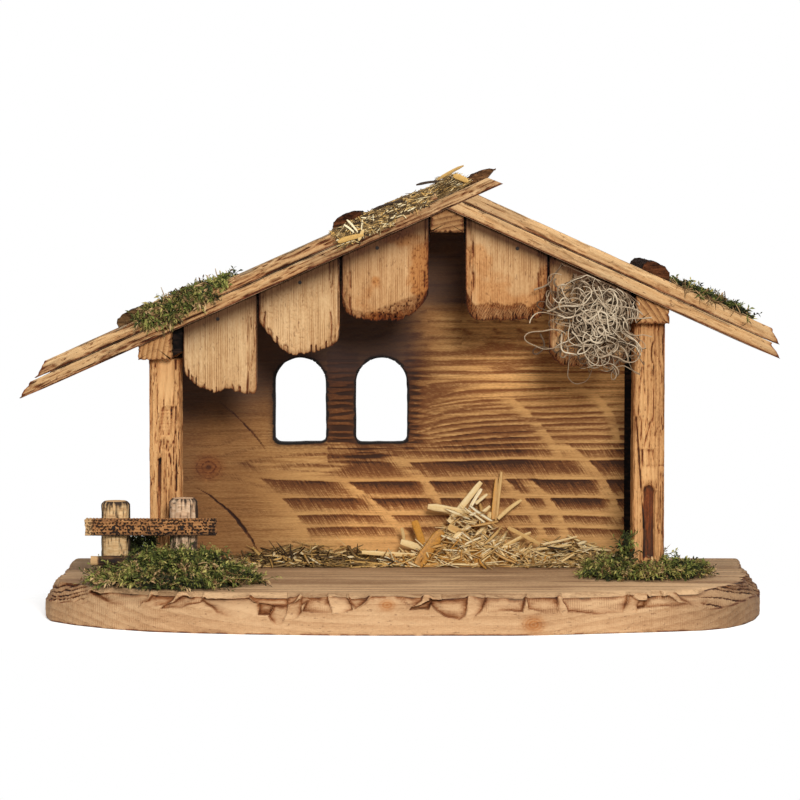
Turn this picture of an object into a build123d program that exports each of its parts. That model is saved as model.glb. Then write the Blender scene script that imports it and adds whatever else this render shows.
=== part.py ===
from build123d import *
import math
import os

# Rustic wooden nativity stable, in millimetres.
# X runs to the right, Y runs to the back and Z is up; the origin is under the middle of the stable.

# Base board: a hewn slab with a bowed front
base_width = 479.0
base_depth = 206.0
base_thickness = 26.3
base_right_shift = 3.5
base_bevel = 5.0

# Posts: two in front, two behind at the ends of the back wall
post_width = 21.5
post_depth = 24.0
left_post_x = -155.3
right_post_x = 164.5
left_post_height = 144.9
frame_depth = 115.5
rear_post_width = 21.5
rear_post_depth = 17.0
rear_margin = 1.5

# Purlins and ridge beam, running from front to back under the roof
beam_width = 22.8
beam_overhang = 10.0
left_purlin_shift = 5.7
right_purlin_shift = 1.2
left_purlin_outer_height = 8.8
right_purlin_outer_height = 9.6
ridge_beam_height = 15.8
ridge_x = 30.9

# Roof: two pitched halves of two boards each, the left half running past the ridge
left_pitch = 24.0
right_pitch = 24.3
roof_front_overhang = 6.0
roof_back_overhang = 0.5
lower_board_thickness = 8.2
upper_board_thickness = 8.6
left_lower_length = 307.5
left_upper_length = 292.0
right_lower_length = 240.4
right_upper_length = 236.0
eave_cut = 10.5
left_ridge_overhang = 40.0
left_ridge_cut = 8.0
left_upper_ridge_stop = 3.0

# Back wall with two arched windows
wall_thickness = 12.0
wall_proud = 2.5
window_width = 35.0
window_height = 58.4
window_sill_rise = 82.9
window_corner_radius = 4.0
left_window_x = -68.7
right_window_x = -12.8

# Hanging gable boards, from left to right, and the battens that they are nailed to
gable_board_thickness = 9.0
gable_board_setback = 5.0
gable_board_gap = 1.5
gable_beam_gap = 0.9
left_gable_end_gap = 7.6
right_gable_end_gap = 3.2
gable_board_hangs = (55.4, 52.6, 55.7, 56.1, 61.5)
left_corner_widths = (24.0, 26.0, 19.0, 6.0, 9.0)
left_corner_heights = (16.0, 17.0, 13.0, 6.5, 9.0)
right_corner_widths = (3.0, 22.0, 20.0, 6.0, 9.0)
right_corner_heights = (3.0, 12.0, 14.0, 6.5, 9.0)
gable_nail_drop = 5.2
gable_batten_height = 15.0
gable_batten_depth = 12.0

# Bark-faced battens lying on the roof, from front to back
roof_batten_front_inset = 3.0
roof_batten_back_inset = 11.0
roof_batten_thickness = 7.5
roof_batten_width = 24.0
ridge_batten_thickness = 6.0
ridge_batten_width = 28.0
left_low_batten_place = 217.0
left_middle_batten_place = 62.0
right_batten_place = 139.5
ridge_batten_place = 26.0

# Small fence at the left front, placed from the base's left end and the front posts
fence_post_radius = 10.1
fence_inset = 49.9
fence_spacing = 44.4
fence_set_forward = 22.0
outer_fence_post_height = 53.4
inner_fence_post_height = 55.3
fence_post_bevel = 2.5
fence_rail_outreach = 19.4
fence_rail_length = 87.0
fence_rail_height = 11.8
fence_rail_thickness = 9.0
fence_rail_rise = 31.6
fence_rail_housing = 2.5
low_rail_radius = 3.7
low_rail_outreach = 15.0
low_rail_length = 86.0
low_rail_rise = 15.7

# Fasteners
nail_radius = 0.7
nail_head_radius = 1.2
nail_head_thickness = 0.6
nail_grip = 8.0
batten_nail_grip = 6.5
batten_nail_inset = 16.0
screw_radius = 1.7
screw_head_radius = 3.6
screw_head_height = 3.2
screw_length = 48.0
dowel_radius = 3.0
dowel_length = 20.0
fit_clearance = 0.05

# Moss, hay, straw and lichen, each kept a little clear of the wood
soft_clearance = 0.3
fence_moss_length = 109.0
fence_moss_width = 66.0
fence_moss_height = 22.0
fence_moss_right_shift = 17.9
fence_moss_front_shift = 12.0
post_moss_length = 90.0
post_moss_width = 50.0
post_moss_height = 17.0
post_moss_left_shift = 2.5
post_moss_front_shift = 2.0
left_roof_moss_length = 56.0
left_roof_moss_width = 44.0
left_roof_moss_thickness = 7.0
right_roof_moss_length = 58.0
right_roof_moss_width = 40.0
right_roof_moss_thickness = 6.0
roof_hay_width = 60.0
roof_hay_thickness = 4.5
straw_heap_length = 104.0
straw_heap_width = 34.0
straw_heap_height = 22.0
straw_heap_x = 46.0
straw_stalk_radius = 1.6
straw_stalk_length = 58.0
straw_stalk_lean = 48.0
floor_hay_width = 30.0
floor_hay_height = 8.0
floor_hay_left_inset = 33.0
floor_hay_right_inset = 5.0
lichen_width = 82.0
lichen_height = 72.0
lichen_bulge = 22.0
lichen_right_shift = 7.0
lichen_rise = 12.0

cut_overrun = 20.0

# Shares, chosen by eye, of the sizes that the outlines and rows follow
base_left_side_share = (0.0, 0.445)
base_front_left_arc_shares = ((0.047, 0.25), (0.158, 0.09))
base_front_arc_shares = ((0.29, 0.0295), (0.47, 0.0))
base_front_flat_share = (0.65, 0.0)
base_front_right_arc_shares = ((0.77, 0.05), (0.9, 0.118))
base_right_arc_shares = ((0.962, 0.26), (0.995, 0.5))
base_right_side_share = (1.0, 0.68)
base_back_shares = ((0.985, 1.0), (0.02, 1.0))
left_gable_width_shares = (0.304, 0.336, 0.36)
right_gable_width_shares = (0.502, 0.498)
gable_nail_shares = (0.47, 0.51, 0.41, 0.63, 0.5)
roof_nail_row_shares = (0.33, 0.79)
ridge_nail_share = 0.25
wall_screw_shares = (0.3, 0.72)
wall_dowel_shares = (0.3, 0.75)
fence_nail_share = 0.5
mound_plan_shares = (
    (-0.5, -0.05), (-0.42, -0.3), (-0.2, -0.44), (0.06, -0.5), (0.3, -0.42), (0.46, -0.22),
    (0.5, 0.08), (0.38, 0.34), (0.14, 0.5), (-0.12, 0.42), (-0.33, 0.46), (-0.46, 0.22),
)
mound_ring_shares = ((1.0, 0.0), (0.96, 0.35), (0.78, 0.75), (0.4, 1.0))
lichen_outline_shares = (
    (-0.5, 0.3), (-0.34, 0.72), (-0.16, 0.94), (0.06, 0.8), (0.3, 0.6), (0.5, 0.42),
    (0.36, 0.22), (0.16, 0.04), (-0.1, 0.0), (-0.34, 0.08),
)
lichen_ring_shares = ((0.7, 0.0), (1.0, 0.4), (0.86, 0.75), (0.45, 1.0))
lichen_middle_share = 0.5
straw_foot_shares = (-0.34, -0.26, -0.2, -0.1, -0.02, 0.05, 0.12, 0.2, 0.28, 0.36)
straw_lean_shares = (0.95, -0.55, 0.6, 0.42, -0.3, 0.2, -0.62, -0.45, 0.5, -1.0)
straw_reach_shares = (0.8, 0.6, 0.95, 1.0, 0.75, 0.7, 0.9, 0.98, 0.6, 0.85)
arc_middle_share = math.cos(math.radians(45))

# Sides of the roof, and the way up for round solids
LEFT = -1
RIGHT = 1
BASE_UP = (Align.CENTER, Align.CENTER, Align.MIN)

# Places worked out from the driving sizes
base_left = base_right_shift - base_width / 2
base_front = -base_depth / 2
base_back = base_depth / 2
rear_post_back = base_back - rear_margin
rear_post_front = rear_post_back - rear_post_depth
wall_front = rear_post_front - wall_proud
wall_back = wall_front + wall_thickness
post_front = rear_post_back - frame_depth
beam_front = post_front - beam_overhang
roof_front = beam_front - roof_front_overhang
roof_depth = rear_post_back + roof_back_overhang - roof_front
roof_thickness = lower_board_thickness + upper_board_thickness
left_purlin_x = left_post_x - left_purlin_shift
right_purlin_x = right_post_x + right_purlin_shift
left_purlin_underside = base_thickness + left_post_height
left_purlin_run = ridge_x - left_purlin_x + beam_width / 2
ridge_height = (left_purlin_underside + left_purlin_outer_height
                + left_purlin_run * math.tan(math.radians(left_pitch)))
right_purlin_run = right_purlin_x + beam_width / 2 - ridge_x
right_purlin_underside = (ridge_height - right_purlin_run * math.tan(math.radians(right_pitch))
                          - right_purlin_outer_height)
ridge_beam_underside = ridge_height - ridge_beam_height
beam_left = ridge_x - beam_width / 2
beam_right = ridge_x + beam_width / 2
wall_left = left_purlin_x + rear_post_width / 2
wall_right = right_purlin_x - rear_post_width / 2
window_sill_height = base_thickness + window_sill_rise
gable_board_front = roof_front + gable_board_setback
gable_board_back = gable_board_front + gable_board_thickness
roof_batten_front = roof_front + roof_batten_front_inset
roof_batten_length = roof_depth - roof_batten_front_inset - roof_batten_back_inset
outer_fence_post_x = base_left + fence_inset
inner_fence_post_x = outer_fence_post_x + fence_spacing
fence_post_places = (outer_fence_post_x, inner_fence_post_x)
fence_post_y = post_front - fence_set_forward
fence_rail_left = outer_fence_post_x - fence_rail_outreach
fence_rail_underside = base_thickness + fence_rail_rise
fence_rail_back = fence_post_y - fence_post_radius + fence_rail_housing
fence_rail_front = fence_rail_back - fence_rail_thickness
low_rail_left = outer_fence_post_x - low_rail_outreach
low_rail_height = base_thickness + low_rail_rise
low_rail_y = fence_post_y - fence_post_radius - low_rail_radius - fit_clearance
fence_moss_x = (outer_fence_post_x + inner_fence_post_x) / 2 + fence_moss_right_shift
fence_moss_y = fence_post_y - fence_moss_front_shift
post_moss_x = right_post_x - post_moss_left_shift
post_moss_y = post_front + post_depth / 2 - post_moss_front_shift
left_roof_moss_place = left_low_batten_place - (roof_batten_width + left_roof_moss_length) / 2 - soft_clearance
right_roof_moss_place = right_batten_place + (roof_batten_width + right_roof_moss_length) / 2 + soft_clearance
roof_hay_length = left_middle_batten_place - roof_batten_width / 2 - left_upper_ridge_stop - soft_clearance * 2
roof_hay_place = left_upper_ridge_stop + soft_clearance + roof_hay_length / 2
straw_heap_y = wall_front - soft_clearance - straw_heap_width / 2
floor_hay_y = wall_front - soft_clearance - floor_hay_width / 2
floor_hay_left = wall_left + floor_hay_left_inset
floor_hay_right = wall_right - floor_hay_right_inset


def pitch_of(side):
    return math.radians(left_pitch if side == LEFT else right_pitch)


def on_slope(side, down, out):
    """X and Z of a point some way down one slope from the ridge and square out from its underside."""
    pitch = pitch_of(side)
    x = ridge_x + side * (down * math.cos(pitch) + out * math.sin(pitch))
    z = ridge_height - down * math.sin(pitch) + out * math.cos(pitch)
    return x, z


def roof_underside(x):
    """Height of the roof's underside over a place across the stable."""
    side = LEFT if x < ridge_x else RIGHT
    return ridge_height - abs(x - ridge_x) * math.tan(pitch_of(side))


def prism(outline, front, depth):
    """A closed outline in X and Z, drawn out from its front towards the back."""
    wire = Polyline(*[(x, 0, z) for x, z in outline], close=True)
    return Pos(0, front, 0) * extrude(make_face(wire), amount=depth, dir=(0, 1, 0))


def box_between(x0, x1, y0, y1, z0, z1):
    middle = Pos((x0 + x1) / 2, (y0 + y1) / 2, (z0 + z1) / 2)
    return middle * Box(x1 - x0, y1 - y0, z1 - z0)


def rod(start, direction, radius, length):
    """A round rod from a point along a direction."""
    return Plane(origin=start, z_dir=direction) * Cylinder(radius, length, align=BASE_UP)


def nail(point, direction, length, slack=0.0):
    """A nail whose head is flush with the point, or with some slack the hole that it fills."""
    head = rod(point, direction, nail_head_radius + slack, nail_head_thickness + slack)
    shank = rod(point, direction, nail_radius + slack, length + slack)
    return head + shank


def mound(length, width, height):
    """A low lumpy heap on the plane Z = 0, widest near its foot."""
    rings = []
    for spread, rise in mound_ring_shares:
        points = [(px * length * spread, py * width * spread, rise * height) for px, py in mound_plan_shares]
        rings.append(make_face(Polyline(*points, close=True)))
    return loft(rings, ruled=True)


def cut_each(solid, cutters):
    for cutter in cutters:
        solid = solid - cutter
    return solid


def group(solids):
    return Compound(children=list(solids))


def save(shape, name):
    export_step(shape, os.path.join("parts", name + ".step"))


# Base board and its screws
def base_face(height, inset):
    """The base's outline at some height, drawn in from its ends and front by the inset."""
    def place(share):
        x = base_left + inset + share[0] * (base_width - inset * 2)
        y = base_front + inset + share[1] * (base_depth - inset)
        return x, y, height

    left_side = place(base_left_side_share)
    left_mid, left_end = [place(s) for s in base_front_left_arc_shares]
    bow_mid, bow_end = [place(s) for s in base_front_arc_shares]
    flat_end = place(base_front_flat_share)
    right_mid, right_end = [place(s) for s in base_front_right_arc_shares]
    turn_mid, turn_end = [place(s) for s in base_right_arc_shares]
    right_side = place(base_right_side_share)
    back_right, back_left = [place(s) for s in base_back_shares]
    edges = [
        ThreePointArc(left_side, left_mid, left_end),
        ThreePointArc(left_end, bow_mid, bow_end),
        Line(bow_end, flat_end),
        ThreePointArc(flat_end, right_mid, right_end),
        ThreePointArc(right_end, turn_mid, turn_end),
        Polyline(turn_end, right_side, back_right, back_left, left_side),
    ]
    return make_face(Curve() + edges)


def base_board():
    rim_height = base_thickness - base_bevel
    slab = extrude(base_face(0, 0), amount=rim_height)
    slab = slab + loft([base_face(rim_height, 0), base_face(base_thickness, base_bevel)], ruled=True)
    slab = cut_each(slab, base_screws(fit_clearance))
    return cut_each(slab, fence_dowels(fit_clearance))


def screw(x, y, slack=0.0):
    """A countersunk screw from under the base, or with some slack the hole that it fills."""
    head = Cone(screw_head_radius + slack, screw_radius + slack, screw_head_height, align=BASE_UP)
    shank = rod((0, 0, 0), (0, 0, 1), screw_radius + slack, screw_length + slack)
    return Pos(x, y, 0) * (head + shank)


def base_screws(slack=0.0):
    """One screw into each post and two into the back wall."""
    front_y = post_front + post_depth / 2
    rear_y = rear_post_front + rear_post_depth / 2
    places = [(left_post_x, front_y), (right_post_x, front_y)]
    places += [(left_purlin_x, rear_y), (right_purlin_x, rear_y)]
    wall_y = (wall_front + wall_back) / 2
    places += [(wall_left + share * (wall_right - wall_left), wall_y) for share in wall_screw_shares]
    return [screw(x, y, slack) for x, y in places]


# Posts and their dowels
def post(x, front, width, depth, top):
    return box_between(x - width / 2, x + width / 2, front, front + depth, base_thickness, top)


def front_post(x, top):
    solid = post(x, post_front, post_width, post_depth, top)
    return cut_each(solid, base_screws(fit_clearance) + post_dowels(fit_clearance))


def rear_post(x, top):
    solid = post(x, rear_post_front, rear_post_width, rear_post_depth, top)
    return cut_each(solid, base_screws(fit_clearance) + wall_dowels(fit_clearance))


def post_dowels(slack=0.0):
    """One upright dowel between each front post and the purlin on it."""
    length = dowel_length + slack
    y = post_front + post_depth / 2
    tops = ((left_post_x, left_purlin_underside), (right_post_x, right_purlin_underside))
    return [rod((x, y, top - length / 2), (0, 0, 1), dowel_radius + slack, length) for x, top in tops]


# Purlins and ridge beam
def purlin(x, underside):
    left, right = x - beam_width / 2, x + beam_width / 2
    outline = [(left, underside), (right, underside)]
    outline += [(right, roof_underside(right)), (left, roof_underside(left))]
    solid = prism(outline, beam_front, rear_post_back - beam_front)
    return cut_each(solid, post_dowels(fit_clearance) + roof_nails(fit_clearance))


def ridge_beam():
    outline = [
        (beam_left, ridge_beam_underside), (beam_right, ridge_beam_underside),
        (beam_right, roof_underside(beam_right)), (ridge_x, ridge_height),
        (beam_left, roof_underside(beam_left)),
    ]
    return cut_each(prism(outline, beam_front, wall_back - beam_front), roof_nails(fit_clearance))


# Back wall
def window(x):
    """The room of one arched window, past both faces of the wall."""
    half = window_width / 2
    sill, spring = window_sill_height, window_sill_height + window_height - half
    left, right = x - half, x + half
    edges = [
        Line((left, 0, sill), (right, 0, sill)),
        Line((right, 0, sill), (right, 0, spring)),
        ThreePointArc((right, 0, spring), (x, 0, spring + half), (left, 0, spring)),
        Line((left, 0, spring), (left, 0, sill)),
    ]
    depth = wall_thickness + cut_overrun * 2
    solid = extrude(make_face(Curve() + edges), amount=depth, dir=(0, 1, 0))
    sill_corners = solid.edges().filter_by(Axis.Y).group_by(Axis.Z)[0]
    return Pos(0, wall_front - cut_overrun, 0) * fillet(sill_corners, window_corner_radius)


def beam_room(x, underside):
    """The notch in the wall's top for one beam."""
    half = beam_width / 2
    top = ridge_height + cut_overrun
    return box_between(x - half, x + half, wall_front - cut_overrun, wall_back + cut_overrun, underside, top)


def back_wall():
    outline = [
        (wall_left, base_thickness), (wall_right, base_thickness), (wall_right, roof_underside(wall_right)),
        (ridge_x, ridge_height), (wall_left, roof_underside(wall_left)),
    ]
    solid = prism(outline, wall_front, wall_thickness)
    notches = [beam_room(left_purlin_x, left_purlin_underside), beam_room(ridge_x, ridge_beam_underside)]
    notches.append(beam_room(right_purlin_x, right_purlin_underside))
    openings = [window(left_window_x), window(right_window_x)]
    solid = cut_each(solid, notches + openings)
    return cut_each(solid, wall_dowels(fit_clearance) + base_screws(fit_clearance))


def wall_dowels(slack=0.0):
    """Level dowels across the joint between each end of the wall and its rear post."""
    length = dowel_length + slack
    y = (rear_post_front + wall_back) / 2
    dowels = []
    for joint_x, top in ((wall_left, left_purlin_underside), (wall_right, right_purlin_underside)):
        for share in wall_dowel_shares:
            start = (joint_x - length / 2, y, base_thickness + share * (top - base_thickness))
            dowels.append(rod(start, (1, 0, 0), dowel_radius + slack, length))
    return dowels


# Roof boards and their nails
def roof_board(side, outline):
    points = [on_slope(side, down, out) for down, out in outline]
    solid = prism(points, roof_front, roof_depth)
    return cut_each(solid, roof_nails(fit_clearance) + roof_batten_nails(fit_clearance))


def left_lower_board():
    return roof_board(LEFT, [
        (-left_ridge_overhang, 0), (left_lower_length, 0),
        (left_lower_length - eave_cut, lower_board_thickness),
        (left_ridge_cut - left_ridge_overhang, lower_board_thickness),
    ])


def left_upper_board():
    return roof_board(LEFT, [
        (left_upper_ridge_stop, lower_board_thickness), (left_upper_length, lower_board_thickness),
        (left_upper_length - eave_cut, roof_thickness), (left_upper_ridge_stop, roof_thickness),
    ])


def right_start(out):
    """Where the right boards' upper ends meet the underside of the left half."""
    return out / math.tan(pitch_of(LEFT) + pitch_of(RIGHT))


def right_lower_board():
    return roof_board(RIGHT, [
        (0, 0), (right_lower_length, 0), (right_lower_length - eave_cut, lower_board_thickness),
        (right_start(lower_board_thickness), lower_board_thickness),
    ])


def right_upper_board():
    return roof_board(RIGHT, [
        (right_start(lower_board_thickness), lower_board_thickness),
        (right_upper_length, lower_board_thickness),
        (right_upper_length - eave_cut / 2, roof_thickness),
        (right_start(roof_thickness), roof_thickness),
    ])


def slope_nail(side, down, out, y, length, slack):
    """A nail square through one slope, its head flush with a layer some way out from the underside."""
    x, z = on_slope(side, down, out)
    pitch = pitch_of(side)
    return nail((x, y, z), (-side * math.sin(pitch), 0, -math.cos(pitch)), length, slack)


def roof_nails(slack=0.0):
    """Nails through both boards into each purlin, and through the left half into the ridge beam."""
    places = [(LEFT, (ridge_x - left_purlin_x) / math.cos(pitch_of(LEFT)))]
    places += [(LEFT, ridge_nail_share * beam_width)]
    places += [(RIGHT, (right_purlin_x - ridge_x) / math.cos(pitch_of(RIGHT)))]
    length = roof_thickness + nail_grip
    rows = [roof_front + share * roof_depth for share in roof_nail_row_shares]
    return [slope_nail(side, down, roof_thickness, y, length, slack) for side, down in places for y in rows]


# Gable battens, hanging boards and their nails
def gable_batten(side):
    """A batten under the front of one roof half, between a purlin and the ridge beam."""
    if side == LEFT:
        x0, x1 = left_purlin_x + beam_width / 2, beam_left
    else:
        x0, x1 = beam_right, right_purlin_x - beam_width / 2
    drop = gable_batten_height / math.cos(pitch_of(side))
    outline = [
        (x0, roof_underside(x0) - drop), (x1, roof_underside(x1) - drop),
        (x1, roof_underside(x1)), (x0, roof_underside(x0)),
    ]
    return cut_each(prism(outline, gable_board_back, gable_batten_depth), gable_board_nails(fit_clearance))


def gable_spans():
    """Left and right edges of the hanging boards, which fill the gable between the beams."""
    spans = []
    left_start = left_purlin_x + beam_width / 2 + left_gable_end_gap
    right_end = right_purlin_x - beam_width / 2 - right_gable_end_gap
    rows = (
        (left_start, beam_left - gable_beam_gap, left_gable_width_shares),
        (beam_right + gable_beam_gap, right_end, right_gable_width_shares),
    )
    for start, end, shares in rows:
        wood = end - start - gable_board_gap * (len(shares) - 1)
        left = start
        for share in shares:
            spans.append((left, left + share * wood))
            left += share * wood + gable_board_gap
    return spans


def gable_board_nails(slack=0.0):
    nails = []
    for (left, right), share in zip(gable_spans(), gable_nail_shares):
        x = left + share * (right - left)
        point = (x, gable_board_front, roof_underside(x) - gable_nail_drop)
        nails.append(nail(point, (0, 1, 0), gable_board_thickness + nail_grip, slack))
    return nails


def corner_arc(x0, z0, x1, z1):
    """A rounded corner from a point on a side edge to a point on the foot."""
    x_mid = x0 + (x1 - x0) * (1 - arc_middle_share)
    z_mid = z0 + (z1 - z0) * arc_middle_share
    return ThreePointArc((x0, 0, z0), (x_mid, 0, z_mid), (x1, 0, z1))


def gable_board(number):
    left, right = gable_spans()[number]
    foot = roof_underside((left + right) / 2) - gable_board_hangs[number]
    left_width, left_height = left_corner_widths[number], left_corner_heights[number]
    right_width, right_height = right_corner_widths[number], right_corner_heights[number]
    edges = [
        Polyline((left, 0, foot + left_height), (left, 0, roof_underside(left)),
                 (right, 0, roof_underside(right)), (right, 0, foot + right_height)),
        corner_arc(right, foot + right_height, right - right_width, foot),
        Line((right - right_width, 0, foot), (left + left_width, 0, foot)),
        corner_arc(left, foot + left_height, left + left_width, foot),
    ]
    solid = extrude(make_face(Curve() + edges), amount=gable_board_thickness, dir=(0, 1, 0))
    return (Pos(0, gable_board_front, 0) * solid) - gable_board_nails(fit_clearance)[number]


# Battens on the roof and their nails
def roof_batten(side, place, width, thickness, seat):
    """A batten lying on one slope; its seat is its height out from the roof's underside."""
    outline = [(place - width / 2, seat), (place + width / 2, seat)]
    outline += [(place + width / 2, seat + thickness), (place - width / 2, seat + thickness)]
    points = [on_slope(side, down, out) for down, out in outline]
    solid = prism(points, roof_batten_front, roof_batten_length)
    return cut_each(solid, roof_batten_nails(fit_clearance))


def plain_batten(side, place):
    return roof_batten(side, place, roof_batten_width, roof_batten_thickness, roof_thickness)


def ridge_batten():
    place = -ridge_batten_place
    return roof_batten(LEFT, place, ridge_batten_width, ridge_batten_thickness, lower_board_thickness)


def roof_batten_nails(slack=0.0):
    """Two nails through each batten, near its ends."""
    rows = (roof_batten_front + batten_nail_inset, roof_batten_front + roof_batten_length - batten_nail_inset)
    plain_top = roof_thickness + roof_batten_thickness
    ridge_top = lower_board_thickness + ridge_batten_thickness
    places = (
        (LEFT, left_low_batten_place, plain_top, roof_batten_thickness),
        (LEFT, left_middle_batten_place, plain_top, roof_batten_thickness),
        (RIGHT, right_batten_place, plain_top, roof_batten_thickness),
        (LEFT, -ridge_batten_place, ridge_top, ridge_batten_thickness),
    )
    nails = []
    for side, place, top, thickness in places:
        nails += [slope_nail(side, place, top, y, thickness + batten_nail_grip, slack) for y in rows]
    return nails


# Fence
def fence_post(x, height):
    solid = Cylinder(fence_post_radius, height, align=BASE_UP)
    solid = chamfer(solid.edges().group_by(Axis.Z)[-1], fence_post_bevel)
    solid = Pos(x, fence_post_y, base_thickness) * solid
    solid = solid - fence_rail_block()
    return cut_each(solid, fence_dowels(fit_clearance) + fence_nails(fit_clearance))


def fence_rail_block():
    right = fence_rail_left + fence_rail_length
    top = fence_rail_underside + fence_rail_height
    return box_between(fence_rail_left, right, fence_rail_front, fence_rail_back, fence_rail_underside, top)


def low_rail_rod(slack=0.0):
    start = (low_rail_left - slack, low_rail_y, low_rail_height)
    return rod(start, (1, 0, 0), low_rail_radius + slack, low_rail_length + slack * 2)


def fence_nails(slack=0.0):
    """One nail through each rail into each fence post."""
    rail_middle = fence_rail_underside + fence_nail_share * fence_rail_height
    rows = (
        (fence_rail_front, rail_middle, fence_rail_thickness),
        (low_rail_y - low_rail_radius, low_rail_height, low_rail_radius * 2),
    )
    nails = []
    for x in fence_post_places:
        nails += [nail((x, y, z), (0, 1, 0), thickness + nail_grip, slack) for y, z, thickness in rows]
    return nails


def fence_dowels(slack=0.0):
    """One upright dowel between each fence post and the base."""
    length = dowel_length + slack
    starts = [(x, fence_post_y, base_thickness - length / 2) for x in fence_post_places]
    return [rod(start, (0, 0, 1), dowel_radius + slack, length) for start in starts]


# Moss, hay, straw and lichen
def fence_moss():
    heap = mound(fence_moss_length, fence_moss_width, fence_moss_height)
    heap = Pos(fence_moss_x, fence_moss_y, base_thickness) * heap
    room_height = base_thickness + outer_fence_post_height
    room = Cylinder(fence_post_radius + soft_clearance, room_height, align=BASE_UP)
    heap = heap - low_rail_rod(soft_clearance)
    return cut_each(heap, [Pos(x, fence_post_y, 0) * room for x in fence_post_places])


def right_post_moss():
    heap = mound(post_moss_length, post_moss_width, post_moss_height)
    heap = Pos(post_moss_x, post_moss_y, base_thickness) * heap
    wide = post_width + soft_clearance * 2
    deep = post_depth + soft_clearance * 2
    return heap - post(right_post_x, post_front - soft_clearance, wide, deep, right_purlin_underside)


def on_roof(side, place, length, width, thickness):
    """A heap on one slope, long side down the slope, its front edge over the roof's front."""
    x, z = on_slope(side, place, roof_thickness + soft_clearance)
    tilt = left_pitch if side == LEFT else right_pitch
    heap = Rot(0, side * tilt, 0) * mound(length, width, thickness)
    return Pos(x, roof_front + width / 2, z) * heap


def straw_heap():
    """Straw piled against the wall, with stalks that cross and stand out of it."""
    heap = mound(straw_heap_length, straw_heap_width, straw_heap_height)
    for foot, tilt, reach in zip(straw_foot_shares, straw_lean_shares, straw_reach_shares):
        lean = math.radians(tilt * straw_stalk_lean)
        direction = (math.sin(lean), 0, math.cos(lean))
        start = (foot * straw_heap_length, 0, straw_stalk_radius)
        heap = heap + rod(start, direction, straw_stalk_radius, reach * straw_stalk_length)
    return Pos(straw_heap_x, straw_heap_y, base_thickness + soft_clearance) * heap


def floor_hay():
    """Loose hay along the foot of the wall, on both sides of the straw."""
    heap_left = straw_heap_x - straw_heap_length / 2 - soft_clearance
    heap_right = straw_heap_x + straw_heap_length / 2 + soft_clearance
    strips = []
    for left, right in ((floor_hay_left, heap_left), (heap_right, floor_hay_right)):
        strip = mound(right - left, floor_hay_width, floor_hay_height)
        strips.append(Pos((left + right) / 2, floor_hay_y, base_thickness + soft_clearance) * strip)
    return strips


def lichen_tuft():
    """A hanging tuft in front of the last gable board, fullest a little way out from it."""
    left, right = gable_spans()[-1]
    middle_x = (left + right) / 2 + lichen_right_shift
    middle_z = roof_underside(middle_x) + lichen_rise - lichen_middle_share * lichen_height
    rings = []
    for spread, reach in lichen_ring_shares:
        y = gable_board_front - soft_clearance - reach * lichen_bulge
        points = []
        for px, pz in lichen_outline_shares:
            rise = (pz - lichen_middle_share) * lichen_height * spread
            points.append((middle_x + px * lichen_width * spread, y, middle_z + rise))
        rings.append(make_face(Polyline(*points, close=True)))
    return loft(rings, ruled=True)


os.makedirs("parts", exist_ok=True)

save(base_board(), "base_board")
save(back_wall(), "back_wall")
save(front_post(left_post_x, left_purlin_underside), "left_front_post")
save(front_post(right_post_x, right_purlin_underside), "right_front_post")
save(rear_post(left_purlin_x, left_purlin_underside), "left_rear_post")
save(rear_post(right_purlin_x, right_purlin_underside), "right_rear_post")
save(purlin(left_purlin_x, left_purlin_underside), "left_purlin")
save(purlin(right_purlin_x, right_purlin_underside), "right_purlin")
save(ridge_beam(), "ridge_beam")
save(left_lower_board(), "left_roof_lower_board")
save(left_upper_board(), "left_roof_upper_board")
save(right_lower_board(), "right_roof_lower_board")
save(right_upper_board(), "right_roof_upper_board")
save(gable_batten(LEFT), "left_gable_batten")
save(gable_batten(RIGHT), "right_gable_batten")
for number in range(len(gable_board_hangs)):
    save(gable_board(number), f"gable_board_{number + 1}")
save(plain_batten(LEFT, left_low_batten_place), "left_low_roof_batten")
save(plain_batten(LEFT, left_middle_batten_place), "left_middle_roof_batten")
save(plain_batten(RIGHT, right_batten_place), "right_roof_batten")
save(ridge_batten(), "ridge_roof_batten")
save(fence_post(outer_fence_post_x, outer_fence_post_height), "outer_fence_post")
save(fence_post(inner_fence_post_x, inner_fence_post_height), "inner_fence_post")
save(cut_each(fence_rail_block(), fence_nails(fit_clearance)), "fence_top_rail")
save(cut_each(low_rail_rod(), fence_nails(fit_clearance)), "fence_low_rail")
save(group(base_screws()), "base_screws")
save(group(post_dowels()), "post_dowels")
save(group(wall_dowels()), "wall_dowels")
save(group(fence_dowels()), "fence_dowels")
save(group(gable_board_nails()), "gable_board_nails")
save(group(roof_nails()), "roof_nails")
save(group(roof_batten_nails()), "roof_batten_nails")
save(group(fence_nails()), "fence_nails")
save(fence_moss(), "fence_moss")
save(right_post_moss(), "right_post_moss")
left_moss_size = (left_roof_moss_length, left_roof_moss_width, left_roof_moss_thickness)
right_moss_size = (right_roof_moss_length, right_roof_moss_width, right_roof_moss_thickness)
save(on_roof(LEFT, left_roof_moss_place, *left_moss_size), "left_roof_moss")
save(on_roof(RIGHT, right_roof_moss_place, *right_moss_size), "right_roof_moss")
save(on_roof(LEFT, roof_hay_place, roof_hay_length, roof_hay_width, roof_hay_thickness), "roof_hay")
save(straw_heap(), "straw_heap")
save(group(floor_hay()), "floor_hay")
save(lichen_tuft(), "lichen_tuft")
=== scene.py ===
import math

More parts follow.
